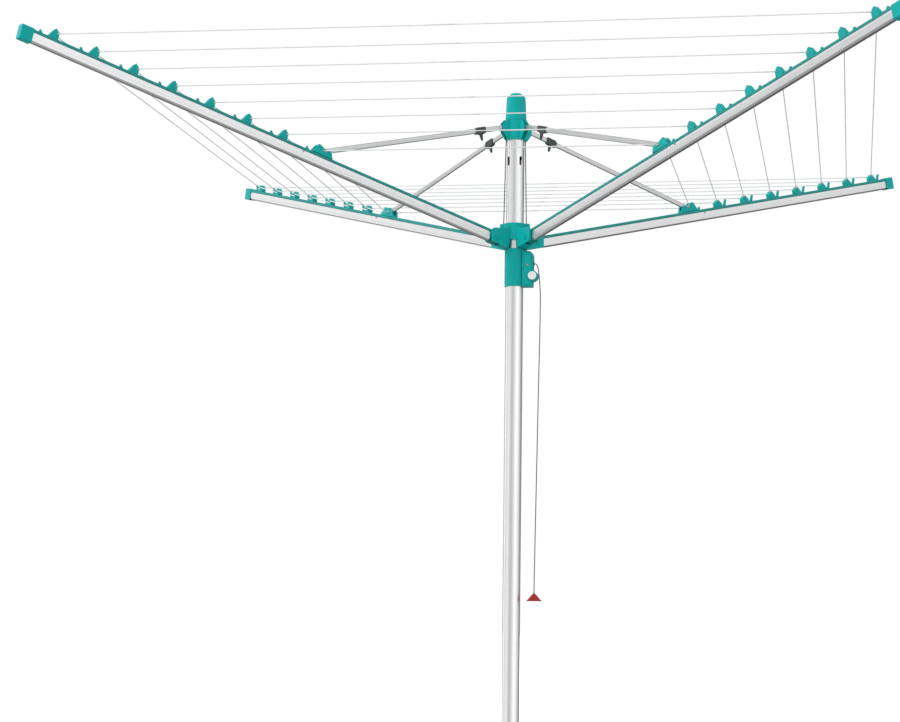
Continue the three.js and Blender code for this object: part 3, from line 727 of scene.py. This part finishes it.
def crown():
    bore = MAST_R + 0.4
    core = lathe(rounded([
        (bore, CROWN_LOW, 0.5), (29.4, CROWN_LOW, 1), (30.2, CROWN_LOW + 11, 4), (30.2, CROWN_TOP - 1.2, 0.6),
        (29.4, CROWN_TOP, 0.6), (bore, CROWN_TOP, 0.4),
    ]), 96, closed=True)
    cheek = rounded([
        (27, CROWN_LOW + 0.2), (33.5, CROWN_LOW + 0.2, 2), (47.6, 1759, 6), (50, 1766, 5), (50, 1779, 4),
        (47, 1786, 4), (37, CROWN_TOP - 0.8, 4), (27, CROWN_TOP - 0.8),
    ], 5)
    x, z = CROWN_PIVOT
    reach = CROWN_NOTCH_REACH
    gap = CROWN_CHEEKS[0]
    cheeks, cuts = [], []
    for azimuth in AZIMUTHS:
        for side in (-1, 1):
            cheeks.append(spun(prism(cheek, *sided(side, *CROWN_CHEEKS)), azimuth))
        mouth = block(x - CROWN_NOTCH, x + CROWN_NOTCH, -reach, reach, z, CROWN_TOP + 3)
        foot = rod(CROWN_NOTCH, -reach, reach, "y", x, z)
        between = block(31.6, 34, -gap, gap, CROWN_LOW - 2, CROWN_TOP + 2)
        cuts += [spun(mouth, azimuth), spun(foot, azimuth), spun(between, azimuth)]
    body = join(core, *cheeks)
    return soften(cut(body, *cuts), 0.55)


remade(ground_sleeve(), "ground_sleeve", "moulding", "sleeve", CHARCOAL)
remade(mast_tube(), "mast_tube", "drawn", "mast", MAST_METAL)
remade(top_cap(), "top_cap", "moulding", "mast", TEAL)
remade(crown(), "crown", "moulding", "mast", TEAL)


def hoist_cord(side):
    top = Vector((side * HOIST_TOP_R, 0, CROWN_LOW - 0.3))
    bottom = Vector((side * HOIST_FOOT_R, 0, HUB_TOP + 0.3))
    return tube([top.lerp(bottom, step / 40) for step in range(41)], CORD_R, 12)


for side_name, side in (("left", -1), ("right", 1)):
    cord = remade(hoist_cord(side), f"hoist_cord_{side_name}", "braid", None, GREY_CORD)
    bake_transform(cord)


# ---------- the hub ----------
def hub():
    bore = MAST_R + 2.6
    collar = lathe(rounded([
        (bore, HUB_LOW, 0.5), (31.4, HUB_LOW, 0.8), (32, HUB_LOW + 1.5, 0.8), (32, HUB_TOP - 1.2, 0.8),
        (31, HUB_TOP, 0.6), (bore, HUB_TOP, 0.5),
    ]), 96, closed=True)
    added, cuts = [], []
    for side in (-1, 1):
        ear = rounded([(28, 1438), (38, 1438, 4), (42, 1446, 4), (42, HUB_TOP - 0.2, 2), (28, HUB_TOP - 0.2)])
        added.append(prism([(side * x, z) for x, z in ear], -7, 7))
        cuts.append(rod(3, HUB_TOP - 12, HUB_TOP + 2, "z", side * HOIST_FOOT_R, 0))
        pocket = oblong(34.6, 40.4, -4.6, 4.6, 1)
        cuts.append(prism([(side * x, y) for x, y in pocket], HUB_TOP - 9, HUB_TOP + 2, "z"))
    cheek = rounded([
        (27, HUB_LOW), (35, HUB_LOW, 2), (91, 1443.7, 2), (91, 1473, 4), (85, 1481, 3), (42, 1484, 4),
        (34, 1490, 4), (27, 1490),
    ], 5)
    disc = [(0, 16), (6.9, 16), (6.9, 18.9, 0.5), (6.2, 19.4, 0.5), (0, 19.4)]
    floor = [(27, HUB_LOW), (35, HUB_LOW), (56, 1435.1), (56, 1437.5), (27, 1437.5)]
    for azimuth in AZIMUTHS:
        for side in (-1, 1):
            added.append(spun(prism(cheek, *sided(side, *HUB_CHEEKS)), azimuth))
            cover = along_y(turned(disc, 48, 3), HINGE_R, HINGE_Z)
            if side < 0:
                cover.data.transform(Matrix.Scale(-1, 4, (0, 1, 0)))
                cover.data.flip_normals()
            added.append(spun(cover, azimuth))
            room = rod(5.8, *sided(side, 14, 18.8), "y", HINGE_R, HINGE_Z)
            cuts.append(spun(room, azimuth))
        added.append(spun(prism(floor, -11, 11), azimuth))
        cuts.append(spun(rod(4.3, -17.1, 17.1, "y", HINGE_R, HINGE_Z), azimuth))
    window = prism([(-14, 1428), (14, 1428), (9, 1454), (-9, 1454)], -46, -22)
    mast_room = rod(bore, HUB_LOW - 2, HUB_TOP + 2, "z")
    return soften(cut(join(collar, *added), window, mast_room, *cuts), 0.6)


def headed_pin(radius, half, head_radius, head):
    end = half + head
    body = turned([
        (0, -end), (head_radius * 0.75, -end, 1), (head_radius, -half - 0.5, 0.8), (head_radius, -half),
        (radius, -half), (radius, half), (head_radius, half), (head_radius, half + 0.5, 0.8),
        (head_radius * 0.75, end, 1), (0, end),
    ], 48)
    return smooth(along_y(body), 50)


remade(hub(), "hub", "moulding", "hub", TEAL)


# ---------- the cord lock ----------
def lock_housing():
    top = HUB_LOW - 0.3
    sleeve = lathe(rounded([
        (MAST_R + 0.7, LOCK_LOW, 0.6), (28.2, LOCK_LOW, 0.6), (28.2, 1331, 0.4), (LOCK_R, 1331.6, 0.4),
        (LOCK_R, top - 4, 0.4), (27.9, top - 3.4, 0.4), (27.9, top, 0.4), (MAST_R + 0.7, top, 0.4),
    ]), 96, closed=True)
    outline = [
        (24, LOCK_LOW + 0.2), (52.6, LOCK_LOW + 0.2, 1.2), (53, 1333, 3), (BOX_RIGHT, 1339, 3),
        (BOX_RIGHT, 1422, 12), (24, 1422),
    ]
    box = plate(outline, BOX_HALF_DEPTH, 6)
    boss = along_y(turned([
        (0, -24), (13, -24, 0.3), (BOSS_R - 1.3, -24, 0.6), (BOSS_R, -22.6, 1.3), (BOSS_R, 4), (0, 4),
    ], 64), *BUTTON)
    shoulder = plate([(30, 1412), (46, 1412), (40, 1423, 5), (30, 1427)], 9)
    bore = rod(MAST_R + 0.7, LOCK_LOW - 2, HUB_LOW + 2, "z", sides=96)
    cavity = block(30.5, 49.5, -BOX_HALF_DEPTH - 1, 14, 1374, 1414)
    pocket = rod(BUTTON_R + 0.5, -25, -12, "y", *BUTTON, 64)
    stem = rod(5, -13, 2, "y", *BUTTON)
    gland = rod(5.3, 48, BOX_RIGHT + 2, "x", CORD_Y, CORD_EXIT_Z)
    seam = block(47.4, 48.0, -3, 3, LOCK_LOW - 1, LOCK_LOW + 1)
    shell = cut(join(sleeve, box, boss, shoulder), bore, cavity, pocket, stem, gland, seam)
    post = rod(4.5, -BOX_HALF_DEPTH, 15, "y", *SCREW)
    screw_hole = rod(2.1, -BOX_HALF_DEPTH - 1, -4, "y", *SCREW, 24)
    return soften(cut(join(shell, post), screw_hole), 0.5)


def lock_box_cover():
    face = -BOX_HALF_DEPTH - 0.3
    outline = rounded([(29, 1326, 1.5), (51.5, 1326, 2), (51.5, 1418, 10), (29, 1418, 2)], 6)
    panel = prism(outline, face - 3, face)
    frame_line = rounded([(31.5, 1372, 3), (46.5, 1372, 3), (46.5, 1411, 6), (31.5, 1411, 3)], 5)
    raised = prism(frame_line, face - 3.5, face - 2)
    boss_room = rod(BOSS_R + 0.5, -26, -15, "y", *BUTTON, 64)
    hole = rod(2.1, -26, -15, "y", *SCREW, 24)
    sink = along_y(lathe([(0, face - 2.6), (4.4, face - 2.6), (5.4, -25), (0, -25)], 32), *SCREW)
    ribs = [prism(oblong(32, 40, z, z + 2, 0.9, 3), face - 3.6, face - 2) for z in (1332, 1337, 1342)]
    return soften(cut(join(panel, raised, *ribs), boss_room, hole, sink), 0.45)


def cover_screw():
    back = -BOX_HALF_DEPTH - 0.6 - 3
    head = turned([
        (0, back - 1.6), (2.4, back - 1.6, 0.8), (3.8, back - 0.3, 0.5), (3.8, back), (1.8, back), (1.8, -6),
        (0, -6),
    ], 48)
    slots = []
    for turn in (0, 90):
        slot = block(-2.3, 2.3, back - 3, back - 0.7, -0.4, 0.4)
        slot.data.transform(Matrix.Rotation(math.radians(turn + 20), 4, "Y"))
        slots.append(moved(slot, SCREW[0], 0, SCREW[1]))
    return smooth(cut(along_y(head, *SCREW), *slots), 35)


def cord_gland():
    face = BOX_RIGHT + 0.3
    profile = rounded([
        (2, 48.5), (5, 48.5, 0.4), (5, face), (6.8, face, 0.3), (6.6, face + 0.9, 0.6), (4.2, 56, 0.8),
        (2.4, 56, 0.4), (2, 55.6),
    ])
    gland = lathe(profile, 64, closed=True)
    gland.data.transform(Matrix.Rotation(math.radians(90), 4, "Y"))
    return smooth(moved(gland, 0, CORD_Y, CORD_EXIT_Z), 45)


def release_button():
    body = turned([
        (0, -27.6), (6.5, -27.7, 8), (BUTTON_R - 1.3, -28.3, 1), (BUTTON_R - 0.3, -27.6, 1),
        (BUTTON_R, -26, 1), (BUTTON_R, -20, 0.4), (4.5, -20), (4.5, -5, 0.6), (0, -5),
    ], 96, 5)
    return smooth(along_y(body, *BUTTON), 45)


remade(lock_housing(), "lock_housing", "moulding", "hub", TEAL)
remade(lock_box_cover(), "lock_box_cover", "moulding", "hub", TEAL)
remade(cover_screw(), "cover_screw", "head", "hub", STEEL)
remade(cord_gland(), "cord_gland", "moulding", "hub", SHADED_TEAL)
remade(release_button(), "release_button", "moulding", "button", WHITE)


# ---------- the washing line ----------
def ring_radius(number):
    return math.sqrt(2) * (OUTER_RING_HALF_SIDE - number * RING_PITCH)


def line_lift(number):
    return INNER_LINE_LIFT if number == RINGS - 1 else LINE_LIFT


def ring_place(number):
    """How far along the arm a ring's guide sits."""
    reach = ring_radius(number) - HINGE_R + line_lift(number) * math.sin(ARM_SLOPE)
    return reach / math.cos(ARM_SLOPE)


def ring_height(number):
    return HINGE_Z + ring_place(number) * math.sin(ARM_SLOPE) + line_lift(number) * math.cos(ARM_SLOPE)


# Routes past an arm's guides have X out along the arm's azimuth, Y across it, and Z up from the ground.
def corner_ends(number, arm):
    """Where a ring's two sides leave a guide: the side towards -Y, then the side towards +Y."""
    radius, z = ring_radius(number), ring_height(number)
    if arm != LACED_ARM:
        return Vector((radius - 5, -5, z)), Vector((radius - 5, 5, z))
    return Vector((radius - 20, -20, z)), Vector((radius - 10, 10.6, z - STEP_DROP))


def corner_routes(arm):
    """The short bends of line in an arm's guides. On the laced arm each ring steps on to the next."""
    routes = []
    for number in range(RINGS):
        radius, z = ring_radius(number), ring_height(number)
        first, second = corner_ends(number, arm)
        if arm != LACED_ARM:
            routes.append([first, Vector((radius - 1.5, -2.2, z)), Vector((radius - 1.5, 2.2, z)), second])
            continue
        low = z - STEP_DROP
        start = [Vector((radius + 14, STEP_SIDE, low + 2.5)), Vector((radius - 4, STEP_SIDE, low)), second]
        end = [first, Vector((radius - 1.5, -1.5, z))]
        if number < RINGS - 1:
            end += [Vector((radius + 0.8, 3, z)), Vector((radius - 2.7, STEP_SIDE, z)),
                    Vector((radius - 9, STEP_SIDE, z - 2))]
        if number == 0:
            routes.append(start)
        else:
            routes[-1] += start
        routes.append(end)
    return routes


def half_side(number, arm, side):
    """Half of one side of a ring, from an arm's guide to the side's middle, with a slight sag."""
    ends = corner_ends(number, arm)
    start = ends[0] if side < 0 else ends[1]
    spin = Matrix.Rotation(AZIMUTHS[arm - 1], 3, "Z")
    radius, z = ring_radius(number), ring_height(number)
    middle = Vector((radius / 2, side * radius / 2, z))
    sag = 2.5 * (ring_radius(number) / ring_radius(0)) ** 2
    points = []
    steps = 10
    for step in range(steps + 1):
        share = step / steps
        point = start.lerp(middle, share)
        point.z -= sag * (1 - (1 - share) ** 2)
        points.append(spin @ point)
    return points


def make_washing_line():
    for arm in range(1, ARMS + 1):
        spin = Matrix.Rotation(AZIMUTHS[arm - 1], 3, "Z")
        parts = []
        for route in corner_routes(arm):
            parts.append(tube([spin @ point for point in curve_through(route, 3)], LINE_R, 10))
        corners = copies_in_one(f"line_corners_{arm}", parts)
        corners.data.shade_smooth()
        finished(corners, f"line_corners_{arm}", f"arm_{arm}", LINE_COAT)
        for number in range(RINGS):
            for side, word in ((-1, "a"), (1, "b")):
                points = half_side(number, arm, side)
                strand = tube(points, LINE_R, 8)
                finished(strand, f"line_ring_{number + 1}_arm_{arm}_{word}", f"arm_{arm}", LINE_COAT)
                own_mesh(strand)
    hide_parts("washing_line")


make_washing_line()


# ---------- the arms, each in its own frame: X along the arm from its hinge ----------
def frame_of(arm, radius, height, slope):
    spin = Matrix.Rotation(AZIMUTHS[arm - 1], 4, "Z")
    return spin @ Matrix.Translation((radius * MM, 0, height * MM)) @ Matrix.Rotation(slope, 4, "Y")


def arm_frame(arm):
    return frame_of(arm, HINGE_R, HINGE_Z, -ARM_SLOPE)


def strut_frame(arm):
    return frame_of(arm, *CROWN_PIVOT, STRUT_SLOPE)


def arm_tube():
    """A hollow section whose sides bow out a little, with a round underside."""
    outer = rounded([
        (-9.2, ARM_HIGH, 1.2), (-9.8, 4, 20), (-9.9, -6, 12), (-9.2, -12.5, 4), (-4.5, ARM_LOW, 4),
        (4.5, ARM_LOW, 4), (9.2, -12.5, 4), (9.9, -6, 12), (9.8, 4, 20), (9.2, ARM_HIGH, 1.2),
    ], 6)
    inner = rounded([
        (-7.8, 7.4, 0.5), (-8.2, -6, 8), (-7.6, -11.8, 3), (-4, -15.4, 3), (4, -15.4, 3), (7.6, -11.8, 3),
        (8.2, -6, 8), (7.8, 7.4, 0.5),
    ])
    return smooth(cut(prism(outer, ARM_START, ARM_END, "x"), prism(inner, ARM_START - 2, ARM_END + 2, "x")))


def line_room(route, arm, radius=LINE_ROOM_R):
    """A round channel along a route, in the arm's own frame."""
    inward = arm_frame(arm).inverted() @ Matrix.Rotation(AZIMUTHS[arm - 1], 4, "Z")
    room = tube(route, radius, 12)
    room.data.transform(inward)
    return room


def extent(piece):
    """The lowest and highest corner of a piece's own mesh, in tenths of a millimetre."""
    spots = [vertex.co for vertex in piece.data.vertices]
    if not spots:
        return None
    return [round(pick(spot[axis] for spot in spots) * 10000) for pick in (min, max) for axis in range(3)]


def bored(body, route, arm):
    """Cuts a line's room, and tries slightly wider ones until the solver leaves the body whole."""
    whole = extent(body)
    for widening in (0, 0.03, 0.06, 0.09, 0.12, 0.15, 0.2):
        before = body.data.copy()
        cut(body, line_room(route, arm, LINE_ROOM_R + widening))
        if extent(body) == whole:
            return body
        body.data = before
    return body


def guide_block(u, peak):
    return plate([
        (u - 12, RAIL_TOP - 1), (u - 12.5, peak - 10, 1.5), (u - 1, peak, 1.5), (u + 11, 24, 2),
        (u + 12, RAIL_TOP - 1),
    ], 8)


def prong(u):
    return plate([
        (u + 21, RAIL_TOP - 1), (u + 29, RAIL_TOP - 1), (u + 36, 33, 1.5), (u + 34, 36, 1.5),
        (u + 31, 35, 1.5),
    ], 3)


def short_prong(u):
    return plate([(u + 26, RAIL_TOP - 1), (u + 36, RAIL_TOP - 1), (u + 38, 26, 1.2), (u + 35, 26.5, 1.2)], 3)


def line_rail(arm):
    strip = prism(rounded([
        (-10, ARM_HIGH + 0.3, 0.5), (10, ARM_HIGH + 0.3, 0.5), (10, 15.4, 1), (8.4, RAIL_TOP, 1),
        (-8.4, RAIL_TOP, 1), (-10, 15.4, 1),
    ], 3), ARM_START, ARM_END, "x")
    added = [short_prong(ring_place(RINGS - 1))]
    for number in range(RINGS - 1):
        u = ring_place(number)
        if arm > 2:
            added += [guide_block(u, HIGH_GUIDE), short_prong(u)]
        else:
            added += [guide_block(u, LOW_GUIDE), prong(u)]
    body = join(strip, *added)
    for route in rail_routes(arm):
        body = bored(body, route, arm)
    return soften(body, 0.5)


def rail_routes(arm):
    """The line through the rail's guides. On a plain arm it has a little of the ring's sides too."""
    routes = []
    for number in range(RINGS - 1):
        radius, z = ring_radius(number), ring_height(number)
        if arm == LACED_ARM:
            routes += corner_routes(arm)[number:number + 2]
        else:
            routes.append([(radius - 26, -26, z), (radius - 5, -5, z), (radius - 1.5, -2.2, z),
                           (radius - 1.5, 2.2, z), (radius - 5, 5, z), (radius - 26, 26, z)])
    return routes


def tip_cap():
    body = prism(oblong(-11.7, 11.7, -18.6, 18.8, 2.4, 5), 1454, 1487, "x")
    inner = oblong(-10.4, 10.4, ARM_LOW - 0.4, RAIL_TOP + 0.4, 1)
    return soften(cut(body, prism(inner, 1450, ARM_END + 2, "x")), 0.9, 3)


def strut_bracket(arm):
    side = plate([
        (630, RAIL_TOP + 0.3), (628, 23, 2), (617, 42, 2), (612, 42.5, 2), (598, 36.5, 4), (578, 35.5, 2),
        (573, 32, 3), (567, RAIL_TOP + 0.3),
    ], 10.4)
    slot = block(560, 640, -4.2, 4.2, 22.5, 52)
    pin_hole = rod(3.3, -12, 12, "y", *BRACKET_PIVOT)
    number = RINGS - 1
    radius, z = ring_radius(number), ring_height(number)
    if arm == LACED_ARM:
        routes = corner_routes(arm)[number:number + 2]
    else:
        routes = [[(radius - 26, -26, z), (radius - 5, -5, z), (radius - 5, 5, z), (radius - 26, 26, z)]]
    return soften(cut(side, slot, pin_hole, *(line_room(route, arm) for route in routes)), 0.5)


def arm_knuckle():
    eye = rod(13, -10.3, 10.3, "y", sides=64)
    body = block(0, ARM_START - 0.4, -10, 10, -16, 12)
    section = rounded([(-8, -9, 2), (-4, -15, 2), (4, -15, 2), (8, -9, 2), (8, 7, 1), (-8, 7, 1)])
    plug = prism(section, 10, 62, "x")
    return soften(cut(join(eye, body, plug), rod(4.3, -12, 12, "y")), 0.5)


def rivet():
    """A blind rivet's dark domed head beside the rail, on both sides of the arm."""
    dome = [(0, 0), (3.1, 0), (3.1, 0.5, 0.4), (1.6, 1.6, 1), (1.1, 1.6), (0.9, 1.1), (0, 1.1)]
    heads = []
    for side in (-1, 1):
        head = turned(dome, 32, 3)
        head.data.transform(Matrix.Translation((657 * MM, side * 9.6 * MM, 6.2 * MM))
                            @ Matrix.Rotation(math.radians(-90 * side), 4, "X"))
        heads.append(head)
    return smooth(copies_in_one("rivets", heads), 50)


# ---------- the struts, each in its own frame: X from the crown pivot to the bracket pivot ----------
def strut_bar():
    outer = prism(oblong(-3.5, 3.5, -7, 7, 3.4, 8), 14, STRUT_LENGTH - 16, "x")
    inner = prism(oblong(-2.3, 2.3, -5.8, 5.8, 2.2, 6), 12, STRUT_LENGTH - 22, "x")
    body = cut(outer, inner)
    near, far = STRUT_LENGTH - 24, STRUT_LENGTH + 7
    end = plate([(near, -7), (far, -7, 6.9), (far, 7, 6.9), (near, 7)], 3.4, 10)
    return soften(cut(join(body, end), rod(3.3, -6, 6, "y", STRUT_LENGTH, 0)), 0.4)


def strut_head():
    eye = rod(6.5, -4, 4, "y")
    neck = plate([(0, -6.2), (13.6, -6.2, 1), (13.6, 6.2, 1), (0, 6.2)], 4)
    plug = block(10, 36, -1.9, 1.9, -5.4, 5.4)
    return soften(join(eye, neck, plug, rod(3, -6.9, 6.9, "y")), 0.4)


def hanger_clip(open_side):
    """A snap-on clip with a peg below it for a coat hanger."""
    place = 83
    start, end = place - 18, place + 18
    body = plate([
        (start + 4, -9.4, 2), (end, -9.4, 2), (end - 1, 5, 3), (end - 6, 9.4, 3), (start, 9.4, 2),
        (start + 1, -5, 3),
    ], 5.7)
    peg = plate([
        (place - 8, -8.6), (place + 6, -8.6), (place + 3, -14, 4), (place + 1, -27, 1), (place - 1, -29, 1.5),
        (place - 3, -27, 1), (place - 5, -14, 4),
    ], 2.6)
    left, right = place - 10, place + 8
    bar_foot = plate([(left, -11, 1), (right, -11, 1), (right, -8.4), (left, -8.4)], 4)
    tunnel = prism(oblong(-3.9, 3.9, -7.4, 7.4, 3), start - 5, end + 5, "x")
    window = block(start + 6, end - 7, *sided(open_side, 0, 8), -4.5, 4.5)
    return soften(cut(join(body, peg, bar_foot), tunnel, window), 0.45)


def another(source):
    """A second object that shares a piece's mesh."""
    return linked(source.name, source.data)


def make_arms():
    shared = [
        ("arm_tube", arm_tube(), "drawn", ARM_METAL, "arm"),
        ("arm_tip_cap", tip_cap(), "moulding", TEAL, "arm"),
        ("arm_knuckle", arm_knuckle(), "moulding", SHADED_TEAL, "arm"),
        ("hinge_pin", headed_pin(4, 17.3, 5.4, 1.2), "head", STEEL, "hinge"),
        ("strut_pin", headed_pin(3, 10.7, 4.6, 1.6), "head", STEEL, "bracket"),
        ("strut_bar", strut_bar(), "drawn", STRUT_METAL, "strut"),
        ("strut_head", strut_head(), "casting", STRUT_METAL, "strut"),
    ]
    rivets = rivet()
    plain_rails = {1: line_rail(1), 3: line_rail(3)}
    plain_bracket = strut_bracket(1)
    clips = {1: hanger_clip(1), -1: hanger_clip(-1)}
    for arm in range(1, ARMS + 1):
        along_arm, along_strut = arm_frame(arm), strut_frame(arm)
        pivot = Matrix.Translation((BRACKET_PIVOT[0] * MM, 0, BRACKET_PIVOT[1] * MM))
        places = {
            "arm": (along_arm, f"arm_{arm}"), "bracket": (along_arm @ pivot, f"arm_{arm}"),
            "hinge": (frame_of(arm, HINGE_R, HINGE_Z, 0), "hub"), "strut": (along_strut, f"strut_{arm}"),
        }

        laced = arm == LACED_ARM
        rail = line_rail(arm) if laced else another(plain_rails[min(arm, 3)])
        bracket = strut_bracket(arm) if laced else another(plain_bracket)
        clip = another(clips[1 if arm in (1, 4) else -1])
        for node, piece, word, material, where in (
            *((node, another(source), *looks) for node, source, *looks in shared),
            ("line_rail", rail, "moulding", RAIL_TEAL, "arm"),
            ("strut_bracket", bracket, "moulding", TEAL, "arm"),
            ("hanger_clip", clip, "moulding", CHARCOAL, "strut"),
        ):
            piece.matrix_world, body = places[where]
            remade(piece, f"{node}_{arm}", word, body, material)
        heads = another(rivets)
        heads.matrix_world = along_arm
        finished(heads, f"rivets_{arm}", f"arm_{arm}", STEEL)
    sources = [source for _, source, *_ in shared]
    for source in [*sources, rivets, *plain_rails.values(), plain_bracket, *clips.values()]:
        bpy.data.objects.remove(source)


make_arms()

# ---------- CAD nodes that stay, inside the object ----------
for node, material in (
    ("mast_foot_plug", CHARCOAL), ("hub_bush", CHARCOAL), ("cord_cleat", CHARCOAL), ("cleat_pin", STEEL),
    ("button_spring", STEEL),
):
    kept = frame["nodes"][node]
    kept.data.materials.clear()
    kept.data.materials.append(material)


# ---------- the floor, the light and the air around ----------
def make_floor():
    """A pale floor that brightens into the white background away from the object."""
    floor = prism(circle(60000, sides=128), -2, 0, "z")
    floor.name = "floor"
    recipe = Recipe("pale_floor")
    patches = recipe.noise(1.4, 4)
    distance = recipe.node("ShaderNodeVectorMath", {"operation": "LENGTH"})
    recipe.feed(distance.inputs[0], recipe.place.outputs["Object"])
    floor.data.materials.append(recipe.set(
        Base_Color=recipe.mix(recipe.spread(patches, 0, 1), colour(240, 240, 239), colour(247, 247, 247)),
        Roughness=recipe.spread(patches, 0.6, 0.7),
        Emission_Color=(1, 1, 1, 1),
        Emission_Strength=recipe.spread(distance.outputs["Value"], 0.15, 1, 0.4, 2.4),
    ))
    floor.visible_glossy = False
    floor.visible_diffuse = False


def make_light(name, place, target, size, power, tint=(1, 1, 1)):
    data = bpy.data.lights.new(name, "AREA")
    data.shape = "RECTANGLE"
    data.size, data.size_y = size
    data.energy = power
    data.color = tint
    light = linked(name, data)
    light.location = place
    light.rotation_mode = "QUATERNION"
    light.rotation_quaternion = (Vector(target) - Vector(place)).to_track_quat("-Z", "Y")
    light.visible_glossy = False


# The studio's walls: how bright each one is, by degrees round from the front, towards +X.
WALLS = [
    (-180, 0.28), (-130, 0.6), (-108, 1.9), (-90, 0.86), (-60, 1.45), (-5, 0.76), (50, 1.8), (88, 1.2),
    (128, 0.42), (180, 0.28),
]
BRIGHTEST = 2.0


def make_world():
    """A studio: shiny surfaces mirror its walls, a soft dome lights the rest, and the background is white."""
    world = bpy.data.worlds.new("studio")
    bpy.context.scene.world = world
    world.use_nodes = True
    world.node_tree.nodes.clear()
    graph = Graph(world.node_tree)
    maths = graph.maths
    direction = graph.node("ShaderNodeTexCoord").outputs["Generated"]
    x, y, z = graph.node("ShaderNodeSeparateXYZ", Vector=direction).outputs

    turns = maths("MULTIPLY", maths("ARCTAN2", x, maths("MULTIPLY", y, -1.0)), 0.5 / math.pi)
    walls = graph.node("ShaderNodeValToRGB", Fac=maths("ADD", turns, 0.5))
    walls.color_ramp.interpolation = "EASE"
    stops = walls.color_ramp.elements
    while len(stops) < len(WALLS):
        stops.new(0.5)
    for stop, (degrees, tone) in zip(stops, WALLS):
        stop.position = degrees / 360 + 0.5
        stop.color = (tone / BRIGHTEST, tone / BRIGHTEST, tone / BRIGHTEST, 1)
    mirrored = maths("MULTIPLY", walls.outputs["Color"], BRIGHTEST)
    mirrored = maths("MULTIPLY", mirrored, graph.ramp(z, -0.75, -0.08, 0.42, 1.0, "SMOOTHSTEP"))
    dome = maths("MULTIPLY", graph.ramp(z, -0.9, 0.9, 0.72, 1.3, "SMOOTHSTEP"),
                 graph.ramp(x, -0.9, 0.9, 1.12, 0.8, "SMOOTHSTEP"))
    rays = graph.node("ShaderNodeLightPath").outputs
    elsewhere = maths("MULTIPLY", dome, maths("SUBTRACT", 1.0, rays["Is Glossy Ray"]))
    strength = maths("ADD", maths("MULTIPLY", mirrored, rays["Is Glossy Ray"]), elsewhere)
    room = graph.node("ShaderNodeBackground", Strength=strength)
    white = graph.node("ShaderNodeBackground", Strength=1.0, Color=(1, 1, 1, 1))
    choice = graph.node("ShaderNodeMixShader")
    for socket, value in zip(choice.inputs, (rays["Is Camera Ray"], room.outputs[0], white.outputs[0])):
        graph.feed(socket, value)
    graph.node("ShaderNodeOutputWorld", Surface=choice.outputs[0])


make_floor()
make_light("key", (-5.5, -4.5, 5.5), (0, 0, 1.4), (3.0, 3.0), 190)
make_light("fill", (5.5, -4.0, 3.0), (0, 0, 1.4), (2.0, 3.0), 50)
make_world()
bpy.context.scene.view_settings.view_transform = "Standard"
